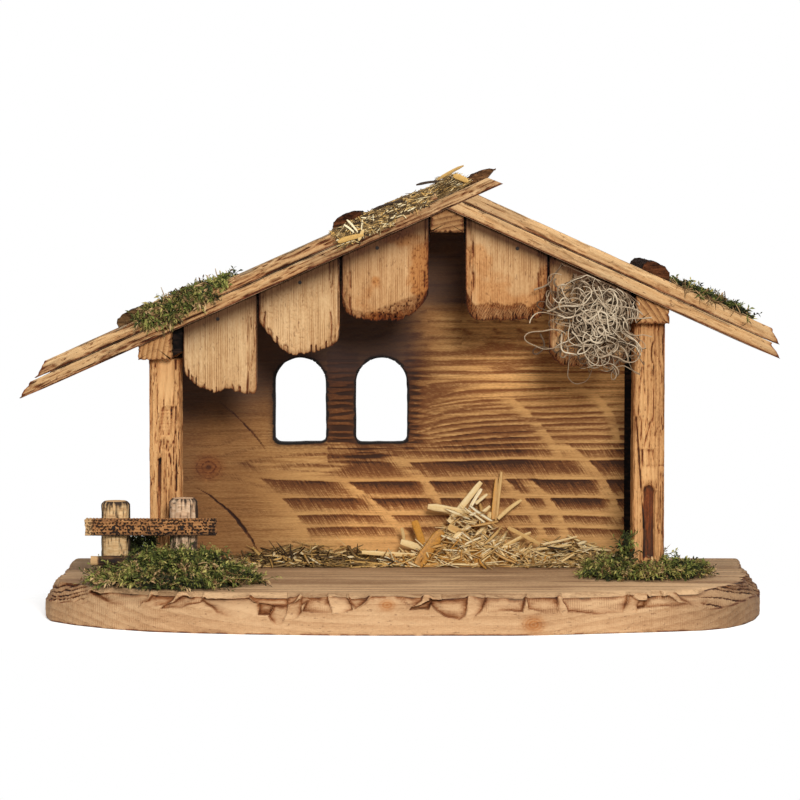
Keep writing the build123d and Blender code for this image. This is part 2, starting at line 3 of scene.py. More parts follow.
import bpy
import numpy as np
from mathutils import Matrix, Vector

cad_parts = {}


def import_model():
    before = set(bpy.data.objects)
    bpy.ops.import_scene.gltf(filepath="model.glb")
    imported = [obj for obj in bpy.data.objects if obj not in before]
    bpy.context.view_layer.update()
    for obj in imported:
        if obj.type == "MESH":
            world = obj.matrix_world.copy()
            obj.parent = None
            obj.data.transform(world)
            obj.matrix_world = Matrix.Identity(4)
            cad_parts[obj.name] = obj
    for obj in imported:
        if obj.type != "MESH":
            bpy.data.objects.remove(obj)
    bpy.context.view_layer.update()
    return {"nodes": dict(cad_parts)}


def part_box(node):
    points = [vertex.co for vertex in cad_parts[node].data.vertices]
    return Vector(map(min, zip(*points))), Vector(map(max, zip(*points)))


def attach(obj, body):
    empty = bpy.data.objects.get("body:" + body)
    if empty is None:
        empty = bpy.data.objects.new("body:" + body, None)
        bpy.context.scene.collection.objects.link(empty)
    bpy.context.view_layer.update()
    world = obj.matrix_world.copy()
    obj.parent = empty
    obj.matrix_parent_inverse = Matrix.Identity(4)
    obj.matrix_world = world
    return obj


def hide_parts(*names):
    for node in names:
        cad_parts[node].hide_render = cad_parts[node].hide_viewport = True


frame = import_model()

# Shapes are worked out in millimetres in the row's frame and turned into metres when a mesh is made.
MM = 0.001
X_AXIS = np.array([1.0, 0.0, 0.0])
Y_AXIS = np.array([0.0, 1.0, 0.0])
Z_AXIS = np.array([0.0, 0.0, 1.0])
# A distance beyond anything in the scene.
FAR = 1000.0
# First seeds of the pieces that are made in a loop, and the step between two of them.
ROOF_SEED = 200
GABLE_SEED = 400
BATTEN_SEED = 600
SEED_STEP = 20

# Camera of the photo.
CAMERA_PLACE = (0.0, -2.095, 0.27624)
CAMERA_TILT = math.radians(3.6226)
CAMERA_LENS = 142.155
SENSOR = 36.0

# Roof slopes on the left and right side of the ridge.
PITCH = {-1: math.radians(24.0), 1: math.radians(24.3)}


def node_box(node):
    """Low and high corner of a CAD node's box, in millimetres."""
    low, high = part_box(node)
    return np.array(low) / MM, np.array(high) / MM


BASE_LOW, BASE_HIGH = node_box("base_board")
BASE_TOP = BASE_HIGH[2]
WALL_LOW, WALL_HIGH = node_box("back_wall")
BEAM_LOW, BEAM_HIGH = node_box("ridge_beam")
RIDGE = np.array([(BEAM_LOW[0] + BEAM_HIGH[0]) / 2, 0.0, BEAM_HIGH[2]])


# Repeatable noise.

def cell_value(cells, seed):
    """A repeatable value from 0 to 1 for each whole-numbered cell."""
    mixed = cells[..., 0] * 374761393 + cells[..., 1] * 668265263 + cells[..., 2] * 1440662683
    mixed = mixed + seed * 974634777
    mixed = (mixed ^ (mixed >> 13)) * 1274126177
    mixed = (mixed ^ (mixed >> 16)) * 2246822519
    return ((mixed >> 8) & 0xFFFF) / 65535.0


def smooth(value, low, high):
    """Rises smoothly from 0 at low to 1 at high."""
    share = np.clip((value - low) / (high - low), 0.0, 1.0)
    return share * share * (3.0 - 2.0 * share)


def noise(points, seed):
    """Smooth noise from 0 to 1 at points given in cells."""
    cells = np.floor(points).astype(np.int64)
    part = points - cells
    part = part * part * (3.0 - 2.0 * part)
    total = 0.0
    for corner in np.ndindex(2, 2, 2):
        weight = np.prod(np.where(np.array(corner) == 1, part, 1.0 - part), axis=-1)
        total = total + weight * cell_value(cells + np.array(corner), seed)
    return total


def fractal(points, seed, octaves=3):
    """Noise from 0 to 1 with finer and finer parts."""
    total, weight = 0.0, 1.0
    for octave in range(octaves):
        total = total + weight * noise(points * 2.0 ** octave, seed + octave)
        weight = weight / 2.0
    return total / (2.0 - 2.0 * weight)


def at(x, y=0.0, z=0.0):
    """Points with these coordinates."""
    return np.stack(np.broadcast_arrays(x, y, z), axis=-1)


def streaks(u, a, b, length, width, seed, octaves=3):
    """Noise drawn out along u, as wood fibre is."""
    return fractal(at(u / length, a / width, b / width), seed, octaves)


def ridges(u, a, b, length, width, seed, octaves=2):
    """Sharp-crested noise drawn out along u: 0 in the bottom of a crack, 1 on the crest."""
    return np.abs(streaks(u, a, b, length, width, seed, octaves) * 2.0 - 1.0)


def spread(field, times):
    """The field blurred over its neighbours; the second direction runs in a closed ring."""
    for _ in range(times):
        padded = np.concatenate([field[:1], field, field[-1:]])
        field = (padded[:-2] + 2.0 * field + padded[2:]) / 4.0
        field = (np.roll(field, 1, axis=1) + 2.0 * field + np.roll(field, -1, axis=1)) / 4.0
    return field


def hollows(depth, times, gain):
    """How far each point lies below its surroundings, as a share from 0 to 1."""
    return np.clip((depth - spread(depth, times)) * gain, 0.0, 1.0)


# Meshes.

# Edges with a wider angle than this are shaded as sharp, in degrees: on boards and on round branches.
BOARD_EDGE = 38.0
BRANCH_EDGE = 60.0
# Sizes of the shrinking rings that fill the ends of a solid, against its last ring.
CAP_RINGS = (0.97, 0.85, 0.6, 0.3, 0.08)
BEAM_CAP_RINGS = (0.99, 0.9, 0.75, 0.6, 0.45, 0.3, 0.15, 0.05)


def make_piece(node, look, points, faces, material, values, sharp=BOARD_EDGE):
    """A mesh piece in a CAD node's place: points in millimetres, with values at each for the material."""
    name = f"{node}_{look}"
    mesh = bpy.data.meshes.new(name)
    mesh.from_pydata((np.asarray(points) * MM).tolist(), [], faces)
    mesh.polygons.foreach_set("use_smooth", np.ones(len(mesh.polygons), dtype=bool))
    if sharp:
        mesh.set_sharp_from_angle(angle=math.radians(sharp))
    for key, value in values.items():
        layer = mesh.attributes.new(key, "FLOAT", "POINT")
        layer.data.foreach_set("value", np.asarray(value, dtype=np.float32).ravel())
    mesh.materials.append(material)
    mesh.update()
    piece = bpy.data.objects.new(name, mesh)
    bpy.context.scene.collection.objects.link(piece)
    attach(piece, "root")
    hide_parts(node)


def ring_faces(rows, count):
    """Four-sided faces between closed rings of points."""
    row = np.arange(rows - 1)[:, None] * count
    here = np.arange(count)[None, :]
    after = (here + 1) % count
    faces = np.stack([row + here, row + after, row + count + after, row + count + here], axis=-1)
    return faces.reshape(-1, 4).tolist()


def closed_faces(rows, count):
    """The faces between rings, and one on each end."""
    faces = ring_faces(rows, count)
    faces.append(list(range(count))[::-1])
    faces.append([(rows - 1) * count + place for place in range(count)])
    return faces


def loft(rings, values, cap_steps):
    """Points, faces and values of a closed solid through rings, with both ends filled by shrinking rings."""
    first, last = rings[0], rings[-1]
    start = [first.mean(axis=0) + (first - first.mean(axis=0)) * step for step in reversed(cap_steps)]
    end = [last.mean(axis=0) + (last - last.mean(axis=0)) * step for step in cap_steps]
    points = np.concatenate([np.array(start), rings, np.array(end)])
    rows, count = points.shape[:2]
    fade = smooth(np.array(cap_steps), 0.8, 1.0)[:, None]
    full = {}
    for key, value in values.items():
        value = np.broadcast_to(value, rings.shape[:2])
        inner = (value[:1].mean(), value[-1:].mean()) if key in ("shade_and_tone", "pale") else (0.0, 0.0)
        before = value[:1] * fade[::-1] + inner[0] * (1.0 - fade[::-1])
        after = value[-1:] * fade + inner[1] * (1.0 - fade)
        full[key] = np.concatenate([before, value, after])
    full["cap"] = np.zeros((rows, count))
    full["cap"][:len(cap_steps)] = 1.0
    full["cap"][rows - len(cap_steps):] = 1.0
    return points.reshape(-1, 3), closed_faces(rows, count), full


def put_solid(node, look, rings, values, material, sharp=BOARD_EDGE, cap_steps=CAP_RINGS):
    """A lofted piece that takes a CAD node's place."""
    points, faces, values = loft(rings, values, cap_steps)
    make_piece(node, look, points, faces, material, values, sharp)


def section(corners, steps, corner):
    """Points and outward normals round a convex outline, anticlockwise, with a spacing for each side."""
    corners = np.array(corners, dtype=float)
    places, normals = [], []
    for index, begin in enumerate(corners):
        finish = corners[(index + 1) % len(corners)]
        length = np.linalg.norm(finish - begin)
        way = (finish - begin) / length
        count = max(2, int(math.ceil(length / steps[index])))
        along = np.linspace(corner, length - corner, count)
        places.append(begin + along[:, None] * way)
        normals.append(np.repeat([[way[1], -way[0]]], count, axis=0))
    return np.concatenate(places).T, np.concatenate(normals).T


def bar(origin, axes, outline, span, step, carve):
    """Rings of a bar along the first axis, its outline in the other two; carve gives depth and values."""
    (a, b), (na, nb) = outline
    start, end = span(a, b)
    count = max(4, int(math.ceil(np.max(np.abs(end - start)) / step)))
    u = start + np.linspace(0.0, 1.0, count)[:, None] * (end - start)
    a, b, na, nb = (np.broadcast_to(part, u.shape) for part in (a, b, na, nb))
    depth, values = carve(u, a, b, na, nb)
    a = a - na * depth
    b = b - nb * depth
    along, across, out = axes
    rings = origin + u[..., None] * along + a[..., None] * across + b[..., None] * out
    return rings, values


def straight(start, end):
    """The span of a bar with square ends."""
    return lambda a, b: (np.full_like(a, start), np.full_like(a, end))


def box_outline(low, high, step_a, step_b, corner=0.5):
    """The section of a bar with four square corners."""
    (a0, b0), (a1, b1) = low, high
    return section([(a0, b0), (a1, b0), (a1, b1), (a0, b1)], (step_a, step_b, step_a, step_b), corner)


# Shader trees written as nested calls.

# Grain turned so that it runs along the first axis of the shader's space.
ALONG_X = (0.0, 0.0, 0.0)
ALONG_Y = (0.0, 0.0, -math.pi / 2)
ALONG_Z = (0.0, math.pi / 2, 0.0)
ALONG_SLOPE = {-1: (0.0, PITCH[-1], 0.0), 1: (0.0, -PITCH[1], 0.0)}


def srgb(red, green, blue):
    """A screen colour from 0 to 255 as the linear colour that a shader takes."""
    shares = [part / 255.0 for part in (red, green, blue)]
    linear = [part / 12.92 if part <= 0.04045 else ((part + 0.055) / 1.055) ** 2.4 for part in shares]
    return (*linear, 1.0)


class Shader:
    """A material, and the calls that add nodes to its tree."""

    def __init__(self, name, roughness=0.8, sheen=0.3):
        self.material = bpy.data.materials.new(name)
        self.material.use_nodes = True
        self.tree = self.material.node_tree
        self.surface = self.tree.nodes["Principled BSDF"]
        self.surface.inputs["Roughness"].default_value = roughness
        self.surface.inputs["Specular IOR Level"].default_value = sheen
        self.place = self.add("ShaderNodeTexCoord", {}).outputs["Object"]

    def add(self, kind, inputs, **settings):
        node = self.tree.nodes.new(kind)
        for key, value in settings.items():
            setattr(node, key, value)
        for key, value in inputs.items():
            if isinstance(value, bpy.types.NodeSocket):
                self.tree.links.new(value, node.inputs[key])
            else:
                node.inputs[key].default_value = value
        return node

    def math(self, operation, first, second=0.0):
        return self.add("ShaderNodeMath", {0: first, 1: second}, operation=operation).outputs[0]

    def total(self, *parts):
        value = parts[0]
        for part in parts[1:]:
            value = self.math("ADD", value, part)
        return value

    def times(self, *parts):
        value = parts[0]
        for part in parts[1:]:
            value = self.math("MULTIPLY", value, part)
        return value

    def inverse(self, value):
        return self.math("SUBTRACT", 1.0, value)

    def turn(self, vector, rotation=ALONG_X, scale=(1.0, 1.0, 1.0), shift=(0.0, 0.0, 0.0)):
        inputs = {"Vector": vector, "Rotation": rotation, "Scale": scale, "Location": shift}
        return self.add("ShaderNodeMapping", inputs).outputs[0]

    def split(self, vector):
        return self.add("ShaderNodeSeparateXYZ", {0: vector}).outputs

    def noise(self, vector, scale, detail=3.0, roughness=0.55, turned=ALONG_X, shift=(0.0, 0.0, 0.0)):
        """Noise with its own number of cells per unit along each axis."""
        place = self.turn(vector, turned, scale, shift)
        inputs = {"Vector": place, "Scale": 1.0, "Detail": detail, "Roughness": roughness}
        return self.add("ShaderNodeTexNoise", inputs).outputs[0]

    def plates(self, vector):
        """Distance from the cracks between irregular cells of size 1."""
        inputs = {"Vector": vector, "Scale": 1.0}
        return self.add("ShaderNodeTexVoronoi", inputs, feature="DISTANCE_TO_EDGE").outputs[0]

    def swing(self, value, reach):
        """How far a value lies from one half, times the reach."""
        return self.times(self.math("SUBTRACT", value, 0.5), reach)

    def part(self, value, low, high, to_low=0.0, to_high=1.0):
        inputs = {0: value, 1: low, 2: high, 3: to_low, 4: to_high}
        return self.add("ShaderNodeMapRange", inputs, interpolation_type="SMOOTHSTEP").outputs[0]

    def ramp(self, value, stops):
        node = self.add("ShaderNodeValToRGB", {0: value})
        elements = node.color_ramp.elements
        while len(elements) < len(stops):
            elements.new(0.5)
        for element, (place, colour) in zip(elements, stops):
            element.position = place
            element.color = colour
        return node.outputs[0]

    def mix(self, share, first, second, mode="MIX"):
        inputs = {0: share, 6: first, 7: second}
        return self.add("ShaderNodeMix", inputs, data_type="RGBA", blend_type=mode).outputs[2]

    def value(self, name):
        return self.add("ShaderNodeAttribute", {}, attribute_name=name).outputs["Fac"]

    def close(self, colour, height, depth, strength=0.6):
        """Sets the colour and a bump of that depth in metres, and gives the material back."""
        inputs = {"Strength": strength, "Distance": depth, "Height": height}
        bump = self.add("ShaderNodeBump", inputs).outputs[0]
        self.tree.links.new(colour, self.surface.inputs["Base Color"])
        self.tree.links.new(bump, self.surface.inputs["Normal"])
        return self.material


# Colour of char, also used for painted shade in hollows and creases.
CHAR_AND_SHADE = srgb(36, 22, 15)
WOOD_ROUGHNESS = 0.82
RIB_SPACING = 1.45 * MM


def wood(name, grain, light, mid, dark, ring=3.4, pith=(40.0, 60.0), wander=6.0, contrast=0.3, fibre=0.5,
         blotch=0.5, specks=0.3, ribs=0.0, grey=0.0, top=None):
    """Softwood: rings round a wandering pith, fibre along the grain, specks, soot and char with painted
    shade.
    """
    make = Shader(name, WOOD_ROUGHNESS)
    place = make.turn(make.place, grain)
    low = make.noise(place, (5.0, 18.0, 18.0), 3.0)
    _, y, z = make.split(place)
    bend = make.swing(low, wander * MM)
    across = make.total(make.math("SUBTRACT", y, pith[0] * MM), bend)
    upward = make.total(make.math("SUBTRACT", z, pith[1] * MM), bend)
    radius = make.math("SQRT", make.total(make.math("POWER", across, 2.0), make.math("POWER", upward, 2.0)))
    growth = make.math("FRACT", make.times(radius, 1.0 / (ring * MM)))
    late = make.times(make.part(growth, 0.15, 0.9), make.part(growth, 0.9, 1.0, 1.0, 0.0))
    fine = make.noise(place, (60.0, 1500.0, 1500.0), 2.0)
    coarse = make.noise(place, (12.0, 260.0, 260.0), 4.0, 0.6)
    stain = make.noise(place, (9.0, 30.0, 30.0), 4.0, shift=(3.0, 1.0, 2.0))
    pore = make.noise(place, (500.0, 1100.0, 1100.0), 2.0)
    body = make.total(make.times(late, contrast), make.swing(coarse, fibre * 1.3),
                      make.swing(fine, fibre * 0.7),
                      make.swing(pore, 0.5),
                      make.swing(stain, blotch * 1.6), 0.3)
    colour = make.ramp(body, ((0.0, light), (0.5, mid), (1.0, dark)))
    if grey:
        weather = make.noise(place, (14.0, 50.0, 50.0))
        colour = make.mix(make.part(weather, 0.42, 0.66, 0.0, grey), colour, srgb(150, 132, 106))
    if top:
        weathered = make.mix(make.part(body, 0.05, 0.75), *top)
        colour = make.mix(make.times(make.value("up"), 0.8), colour, weathered)
    height = make.total(make.times(late, -0.4), make.times(fine, 0.5), coarse, make.times(pore, 0.4))
    if ribs:
        rib_share = make.value("marks") if top else 1.0
        line = make.total(make.split(make.place)[0], make.times(low, 0.9 * MM))
        rib = make.math("SINE", make.times(line, math.tau / RIB_SPACING))
        broken = make.part(make.noise(place, (60.0, 300.0, 300.0), 2.0), 0.4, 0.62)
        rib = make.times(make.part(rib, -0.2, 1.0), broken, make.inverse(make.value("up")), rib_share)
        colour = make.mix(make.times(rib, ribs), colour, srgb(206, 176, 146), "MULTIPLY")
        height = make.math("SUBTRACT", height, make.times(rib, ribs))
    dots = make.noise(place, (260.0, 700.0, 700.0), 2.0, shift=(9.0, 4.0, 7.0))
    dots = make.part(dots, 0.64, 0.72)
    colour = make.mix(make.times(dots, specks), colour, srgb(120, 72, 40), "MULTIPLY")
    uneven = make.part(make.total(coarse, make.times(pore, 0.5)), 0.4, 1.1, 0.6, 1.3)
    colour = make.mix(make.value("red"), colour, srgb(222, 176, 118), "MULTIPLY")
    # Painted shade under the roof and near the ridge; on the base board an even darkening towards its ends.
    colour = make.mix(make.part(make.value("shade_and_tone"), 0.0, 1.0), colour, srgb(104, 86, 70), "MULTIPLY")
    # Soot and painted shade, in two steps of brown.
    soot_and_shade = make.times(make.value("soot_and_shade"), uneven)
    colour = make.mix(make.part(soot_and_shade, 0.0, 0.7), colour, srgb(176, 134, 94), "MULTIPLY")
    colour = make.mix(make.part(soot_and_shade, 0.4, 1.3), colour, srgb(104, 76, 56), "MULTIPLY")
    # Char and painted shade in hollows and creases, down to near black.
    char_and_shade_mask = make.times(make.value("char_and_shade"), uneven)
    colour = make.mix(make.part(char_and_shade_mask, 0.03, 0.5), colour, srgb(160, 104, 60), "MULTIPLY")
    colour = make.mix(make.part(char_and_shade_mask, 0.3, 0.8), colour, srgb(76, 44, 24))
    colour = make.mix(make.part(char_and_shade_mask, 0.7, 1.1), colour, CHAR_AND_SHADE)
    # Lighter: clean carved wood on the posts, painted highlights on the base board's facets.
    colour = make.mix(make.part(make.value("tone"), 0.0, 1.0), colour, light)
    height = make.math("SUBTRACT", height, make.times(dots, 0.8))
    return make.close(colour, height, 0.5 * MM)


BASE_WOOD = wood("base wood", ALONG_X, srgb(214, 176, 133), srgb(184, 143, 102), srgb(134, 93, 60), ring=4.6,
                 pith=(-30.0, -70.0), contrast=0.2, fibre=0.5, blotch=0.6, ribs=0.8, specks=0.4,
                 top=(srgb(216, 178, 134), srgb(132, 97, 66)))
POST_WOOD = wood("post wood", ALONG_Z, srgb(230, 180, 122), srgb(200, 148, 94), srgb(130, 82, 44), ring=2.6,
                 pith=(60.0, 230.0), contrast=0.26, fibre=0.8, blotch=0.75, specks=0.6)
BEAM_WOOD = wood("beam wood", ALONG_Y, srgb(214, 166, 112), srgb(184, 132, 80), srgb(122, 76, 42), ring=3.4,
                 pith=(-60.0, 130.0), wander=4.0, contrast=0.5, fibre=0.5, blotch=0.5, specks=0.5)
ROOF_WOOD = {
    side: wood(f"roof wood {'left' if side < 0 else 'right'}", ALONG_SLOPE[side], srgb(222, 184, 134),
               srgb(198, 153, 102), srgb(142, 98, 60), ring=3.2, pith=(-200.0, 160.0), contrast=0.15,
               fibre=0.6, blotch=0.6, specks=0.7, grey=0.25, top=(srgb(158, 138, 112), srgb(104, 86, 66)))
    for side in (-1, 1)
}
GABLE_WOOD = wood("gable wood", ALONG_Z, srgb(230, 194, 146), srgb(196, 155, 107), srgb(140, 98, 60),
                  ring=3.6, pith=(-90.0, 330.0), contrast=0.12, fibre=0.46, blotch=0.6, specks=0.35,
                  ribs=0.6)
DOWEL_WOOD = wood("dowel wood", ALONG_Z, srgb(214, 178, 128), srgb(196, 156, 104), srgb(150, 108, 66))


# Distance between points round the base board and up its rim.
BASE_STEP = 0.65


def base_plan():
    """Points round the base board's outline, anticlockwise from its left rear corner."""
    shares = ((0.02, 1.0), (0.0, 0.445), (0.012, 0.34), (0.047, 0.25), (0.098, 0.16), (0.158, 0.09),
              (0.22, 0.056), (0.29, 0.0295), (0.38, 0.009), (0.47, 0.0), (0.56, 0.0), (0.65, 0.0),
              (0.71, 0.02), (0.77, 0.05), (0.84, 0.084), (0.9, 0.118), (0.936, 0.175), (0.962, 0.26),
              (0.982, 0.37), (0.995, 0.5), (1.0, 0.68), (0.985, 1.0))
    size = BASE_HIGH[:2] - BASE_LOW[:2]
    keys = BASE_LOW[:2] + np.array(shares) * size
    keys = np.concatenate([keys, keys[:1]])
    along = np.concatenate([[0.0], np.cumsum(np.linalg.norm(np.diff(keys, axis=0), axis=1))])
    places = np.arange(0.0, along[-1], BASE_STEP)
    bend = np.stack([np.interp(places, along, keys[:, axis]) for axis in (0, 1)], axis=1)
    for _ in range(40):
        bend = (np.roll(bend, 1, axis=0) + 2.0 * bend + np.roll(bend, -1, axis=0)) / 4.0
    return bend


# Chisel cuts in the base board's front. For each: its outline across and up, anticlockwise; its depth at the
# foot; how much deeper it gets per millimetre up and to the right; its brown painted shade; how clear its
# tool marks are.
CHISEL_CUTS = (
    (((-203, 23), (-189, 17.5), (-174, 14.2), (-168, 15.5), (-160, 27), (-192, 27)),
     0.3, 0.28, 0.0, 0.0, 1.0),
    (((-169, 15.5), (-160, 16.2), (-150.5, 18), (-142, 27), (-156, 27)), 0.8, 0.2, 0.05, 0.1, 0.0),
    (((-156, 15.3), (-142, 15.5), (-127.6, 21), (-126, 27), (-141, 27), (-151, 17.8)),
     1.0, 0.22, -0.03, 0.05, 0.9),
    (((-127.6, 21.5), (-116.6, 13.4), (-100.4, 10.2), (-91, 12.4), (-89.5, 21), (-98, 25.2), (-124, 25.6)),
     0.6, 0.15, -0.03, 0.0, 0.0),
    (((-96, 25), (-89.5, 21), (-80.7, 18.3), (-71, 18.6), (-72.5, 27), (-97, 27)), 1.8, 0.2, 0.03, 0.3, 0.2),
    (((-90.4, 12.2), (-84, 12.4), (-80.7, 18.6), (-89.5, 21.3)), 3.8, 0.1, -0.25, 0.9, 0.0),
    (((-84, 11.5), (-78.6, 6.2), (-75.4, 7), (-71, 18.5), (-80.7, 18.3)), 0.9, 0.1, -0.15, 0.35, 0.0),
    (((-76, 6), (-71, 7.2), (-62.3, 14.5), (-63.4, 23.5), (-69, 21)), 0.4, 0.05, 0.12, 0.0, 0.0),
    (((-71, 18.8), (-69, 21), (-63.4, 23.5), (-62, 27), (-73, 27)), 1.6, 0.1, 0.0, 0.25, 0.0),
    (((-63.5, 18), (-58, 25), (-58.5, 27), (-63, 27)), 2.4, 0.0, 0.0, 0.5, 0.0),
    (((-61.5, 14.8), (-42.9, 14.8), (-46.5, 27), (-58, 27)), 1.2, 0.1, -0.04, 0.0, 0.5),
    (((-28.8, 16.8), (-26.7, 18.8), (-17.7, 27), (-33.8, 27), (-30.5, 21)), 2.6, 0.05, -0.1, 0.5, 0.0),
    (((-41.6, 14.3), (-34.8, 14.3), (-30.3, 16.3), (-30.6, 21), (-33.8, 27), (-40.4, 27), (-45.4, 24.3),
      (-43.9, 20)), 0.7, 0.1, 0.12, 0.0, 0.0),
    (((-26.7, 17.6), (-18.7, 16.8), (3.5, 17.8), (0, 27), (-17, 27)), 0.3, 0.12, 0.0, 0.0, 0.0),
    (((3.5, 17.8), (7.6, 18.3), (14.6, 24.3), (14.6, 27), (0, 27)), 1.0, 0.12, 0.08, 0.3, 0.0),
    (((4, 17), (17.7, 17), (19.5, 20.8), (18.5, 26), (14.6, 25.2), (7.6, 18.3)), 3.2, 0.05, 0.12, 0.8, 0.0),
    (((19.7, 18.8), (27.7, 12.8), (37.8, 9.8), (41.4, 12.3), (43, 20.8), (43.4, 27), (27.7, 27), (18.7, 24)),
     1.8, 0.06, -0.07, 0.0, 0.2),
    (((41.9, 12.3), (46.4, 9.8), (53, 18.8), (55, 27), (43.6, 27), (43, 20)), 0.8, 0.04, 0.16, 0.0, 0.0),
    (((53.5, 18.8), (55, 15.6), (78.2, 15.6), (80.7, 27), (55.3, 27)), 1.3, 0.12, 0.06, 0.15, 1.0),
    (((82, 17), (92, 13.9), (100.7, 14), (100.3, 27), (81, 27)), 0.8, 0.14, -0.03, 0.0, 0.7),
    (((101.2, 16), (103.7, 12.3), (106.2, 13), (106.9, 20), (102.4, 27), (100.5, 27)),
     0.5, 0.04, -0.15, 0.0, 0.0),
    (((107, 14.5), (127.4, 12.6), (142.5, 13), (146.8, 27), (104, 27)), 1.4, 0.13, -0.03, 0.2, 1.0),
    (((143, 13.2), (151.6, 13.4), (154.6, 20), (151.6, 24.5), (147.4, 26.5)), 0.8, 0.1, 0.1, 0.1, 0.0),
    (((157.5, 15.8), (174.8, 16.3), (186, 17.3), (169, 27), (158.7, 25.5)), 1.2, 0.2, -0.02, 0.15, 1.0),
    (((152.6, 15), (157.2, 15.6), (158.7, 21), (153, 20.6)), 3.4, 0.0, 0.0, 0.9, 0.0),
    (((152.6, 21), (157.7, 21.5), (158.9, 25.5), (150, 27), (150.6, 23.5)), 0.7, 0.1, 0.0, 0.0, 0.0),
    (((178.8, 19.5), (186, 17.5), (179, 27), (170, 27)), 0.6, 0.12, 0.12, 0.0, 0.0),
    (((186, 17.5), (194, 15), (212, 27), (178, 27)), 0.7, 0.25, 0.03, 0.1, 0.5),
)
# Knots in the base board's front: across and up, and reach.
BASE_KNOTS = ((-8.2, 20.0, 8.0), (85.0, 7.0, 11.0))
# Depth of the cuts at the left and right end of the base board, against a full bevel.
END_CUTS = (0.55, 0.7)


def into_outline(x, z, corners):
    """How far points lie inside a convex outline given anticlockwise; negative outside it."""
    into = np.full_like(x, FAR)
    for (x0, z0), (x1, z1) in zip(corners, corners[1:] + corners[:1]):
        across = (x1 - x0) * (z - z0) - (z1 - z0) * (x - x0)
        into = np.minimum(into, across / math.hypot(x1 - x0, z1 - z0))
    return into


def base_carving(x, y, z, along):
    """Depth of the base board's chisel cuts, with their painted shade, creases, painted highlights and tool
    marks.
    """
    wobble_x = (noise(at(x / 5.0, z / 4.0), 11) - 0.5) * 1.4
    wobble_z = (noise(at(x / 5.0, z / 4.0), 12) - 0.5) * 1.2
    depth = np.clip(z - 22.0, 0.0, None) * 0.2
    painted_cut_shade = np.zeros_like(x)
    crease = np.zeros_like(x)
    painted_highlight = np.zeros_like(x)
    marks = 0.12 + 0.5 * smooth(-x, 120.0, 175.0) + 0.25 * smooth(x, 100.0, 160.0)
    for number, (corners, foot, up, across, recess_shade, ticks) in enumerate(CHISEL_CUTS):
        middle = sum(corner[0] for corner in corners) / len(corners)
        lowest = min(corner[1] for corner in corners)
        into = into_outline(x + wobble_x, z + wobble_z, corners)
        plane = np.clip(1.5 * foot + 2.0 * up * (z - lowest) + 1.5 * across * (x - middle), 0.1, 6.0)
        share = smooth(into, -0.4, 0.4)
        jump = np.abs(plane - depth)
        # Painted shade along a crease where the depth jumps.
        line = np.exp(-(into / 0.5) ** 2) * smooth(jump, 0.5, 4.0)
        # Painted shade: a brown that fades inwards from a deeper edge.
        glow = np.exp(-np.clip(into, 0.0, None) / 3.0) * smooth(plane - depth, 0.4, 3.0) * share
        crease = np.maximum(crease * (1.0 - 0.8 * share), line)
        # Painted shade in a cut, darkest near its rim.
        shade = recess_shade * share * (0.3 + 0.7 * np.exp(-np.clip(into, 0.0, None) / 2.0))
        painted_cut_shade = np.maximum(painted_cut_shade * (1.0 - share), np.maximum(shade, 0.75 * glow))
        marks = marks * (1.0 - share) + ticks * share
        # Painted highlights, lighter on some facets than on others.
        painted_highlight = painted_highlight * (1.0 - share) + share * (1.0 - recess_shade) * (0.55, 0.1, 0.35)[number % 3]
        depth = depth * (1.0 - share) + plane * share
    front = y < 0.0
    depth, painted_cut_shade, crease, painted_highlight = (np.where(front, value, 0.0) for value in (depth, painted_cut_shade, crease, painted_highlight))
    left_end = smooth(-x, 199.0, 212.0) * smooth(-y, -97.0, -10.0)
    right_end = smooth(x, 192.0, 204.0) * smooth(-y, -106.0, -34.0)
    end = np.where(x < 0.0, left_end, right_end)
    fan = (z - np.sign(x) * -0.2 * along + 5.0 * fractal(at(along / 14.0, z / 9.0), 31)) / 2.9
    facet = np.floor(fan)
    rest = fan - facet
    bite = cell_value(at(facet).astype(np.int64), 41)
    low = 12.0 + 4.0 * noise(at(along / 16.0), 33)
    over = np.clip(z - low, 0.0, None)
    cuts = over * 0.95 + smooth(over, 0.0, 1.5) * (1.0 + 2.2 * bite - rest * 2.0 * (0.4 + bite))
    cuts = cuts * np.where(x < 0.0, *END_CUTS)
    split = smooth(0.3 - rest, 0.0, 0.16) * smooth(over, 0.0, 1.5) * smooth(bite, 0.1, 0.35)
    depth = depth * (1.0 - end) + (cuts + split * 0.9) * end
    # At the ends: painted shade along the splits and feet of the facets, and browner and lighter facets as
    # painted shade and highlights.
    foot_line = np.exp(-((z - low - 0.4) / 0.5) ** 2)
    crease = crease * (1.0 - end) + (split * 2.4 + foot_line * 0.9) * end
    painted_cut_shade = painted_cut_shade * (1.0 - end) + end * (0.12 + 0.4 * bite * (1.0 - rest)) * smooth(over, 0.0, 1.0)
    painted_highlight = painted_highlight * (1.0 - end) + end * 0.5 * (1.0 - bite) * smooth(over, 0.0, 1.5)
    marks = marks * (1.0 - end) + end * (0.3 + 0.6 * smooth(over, 0.0, 1.0))
    return depth, painted_cut_shade, crease, painted_highlight * (1.0 - np.clip(painted_cut_shade + crease, 0.0, 1.0)), marks


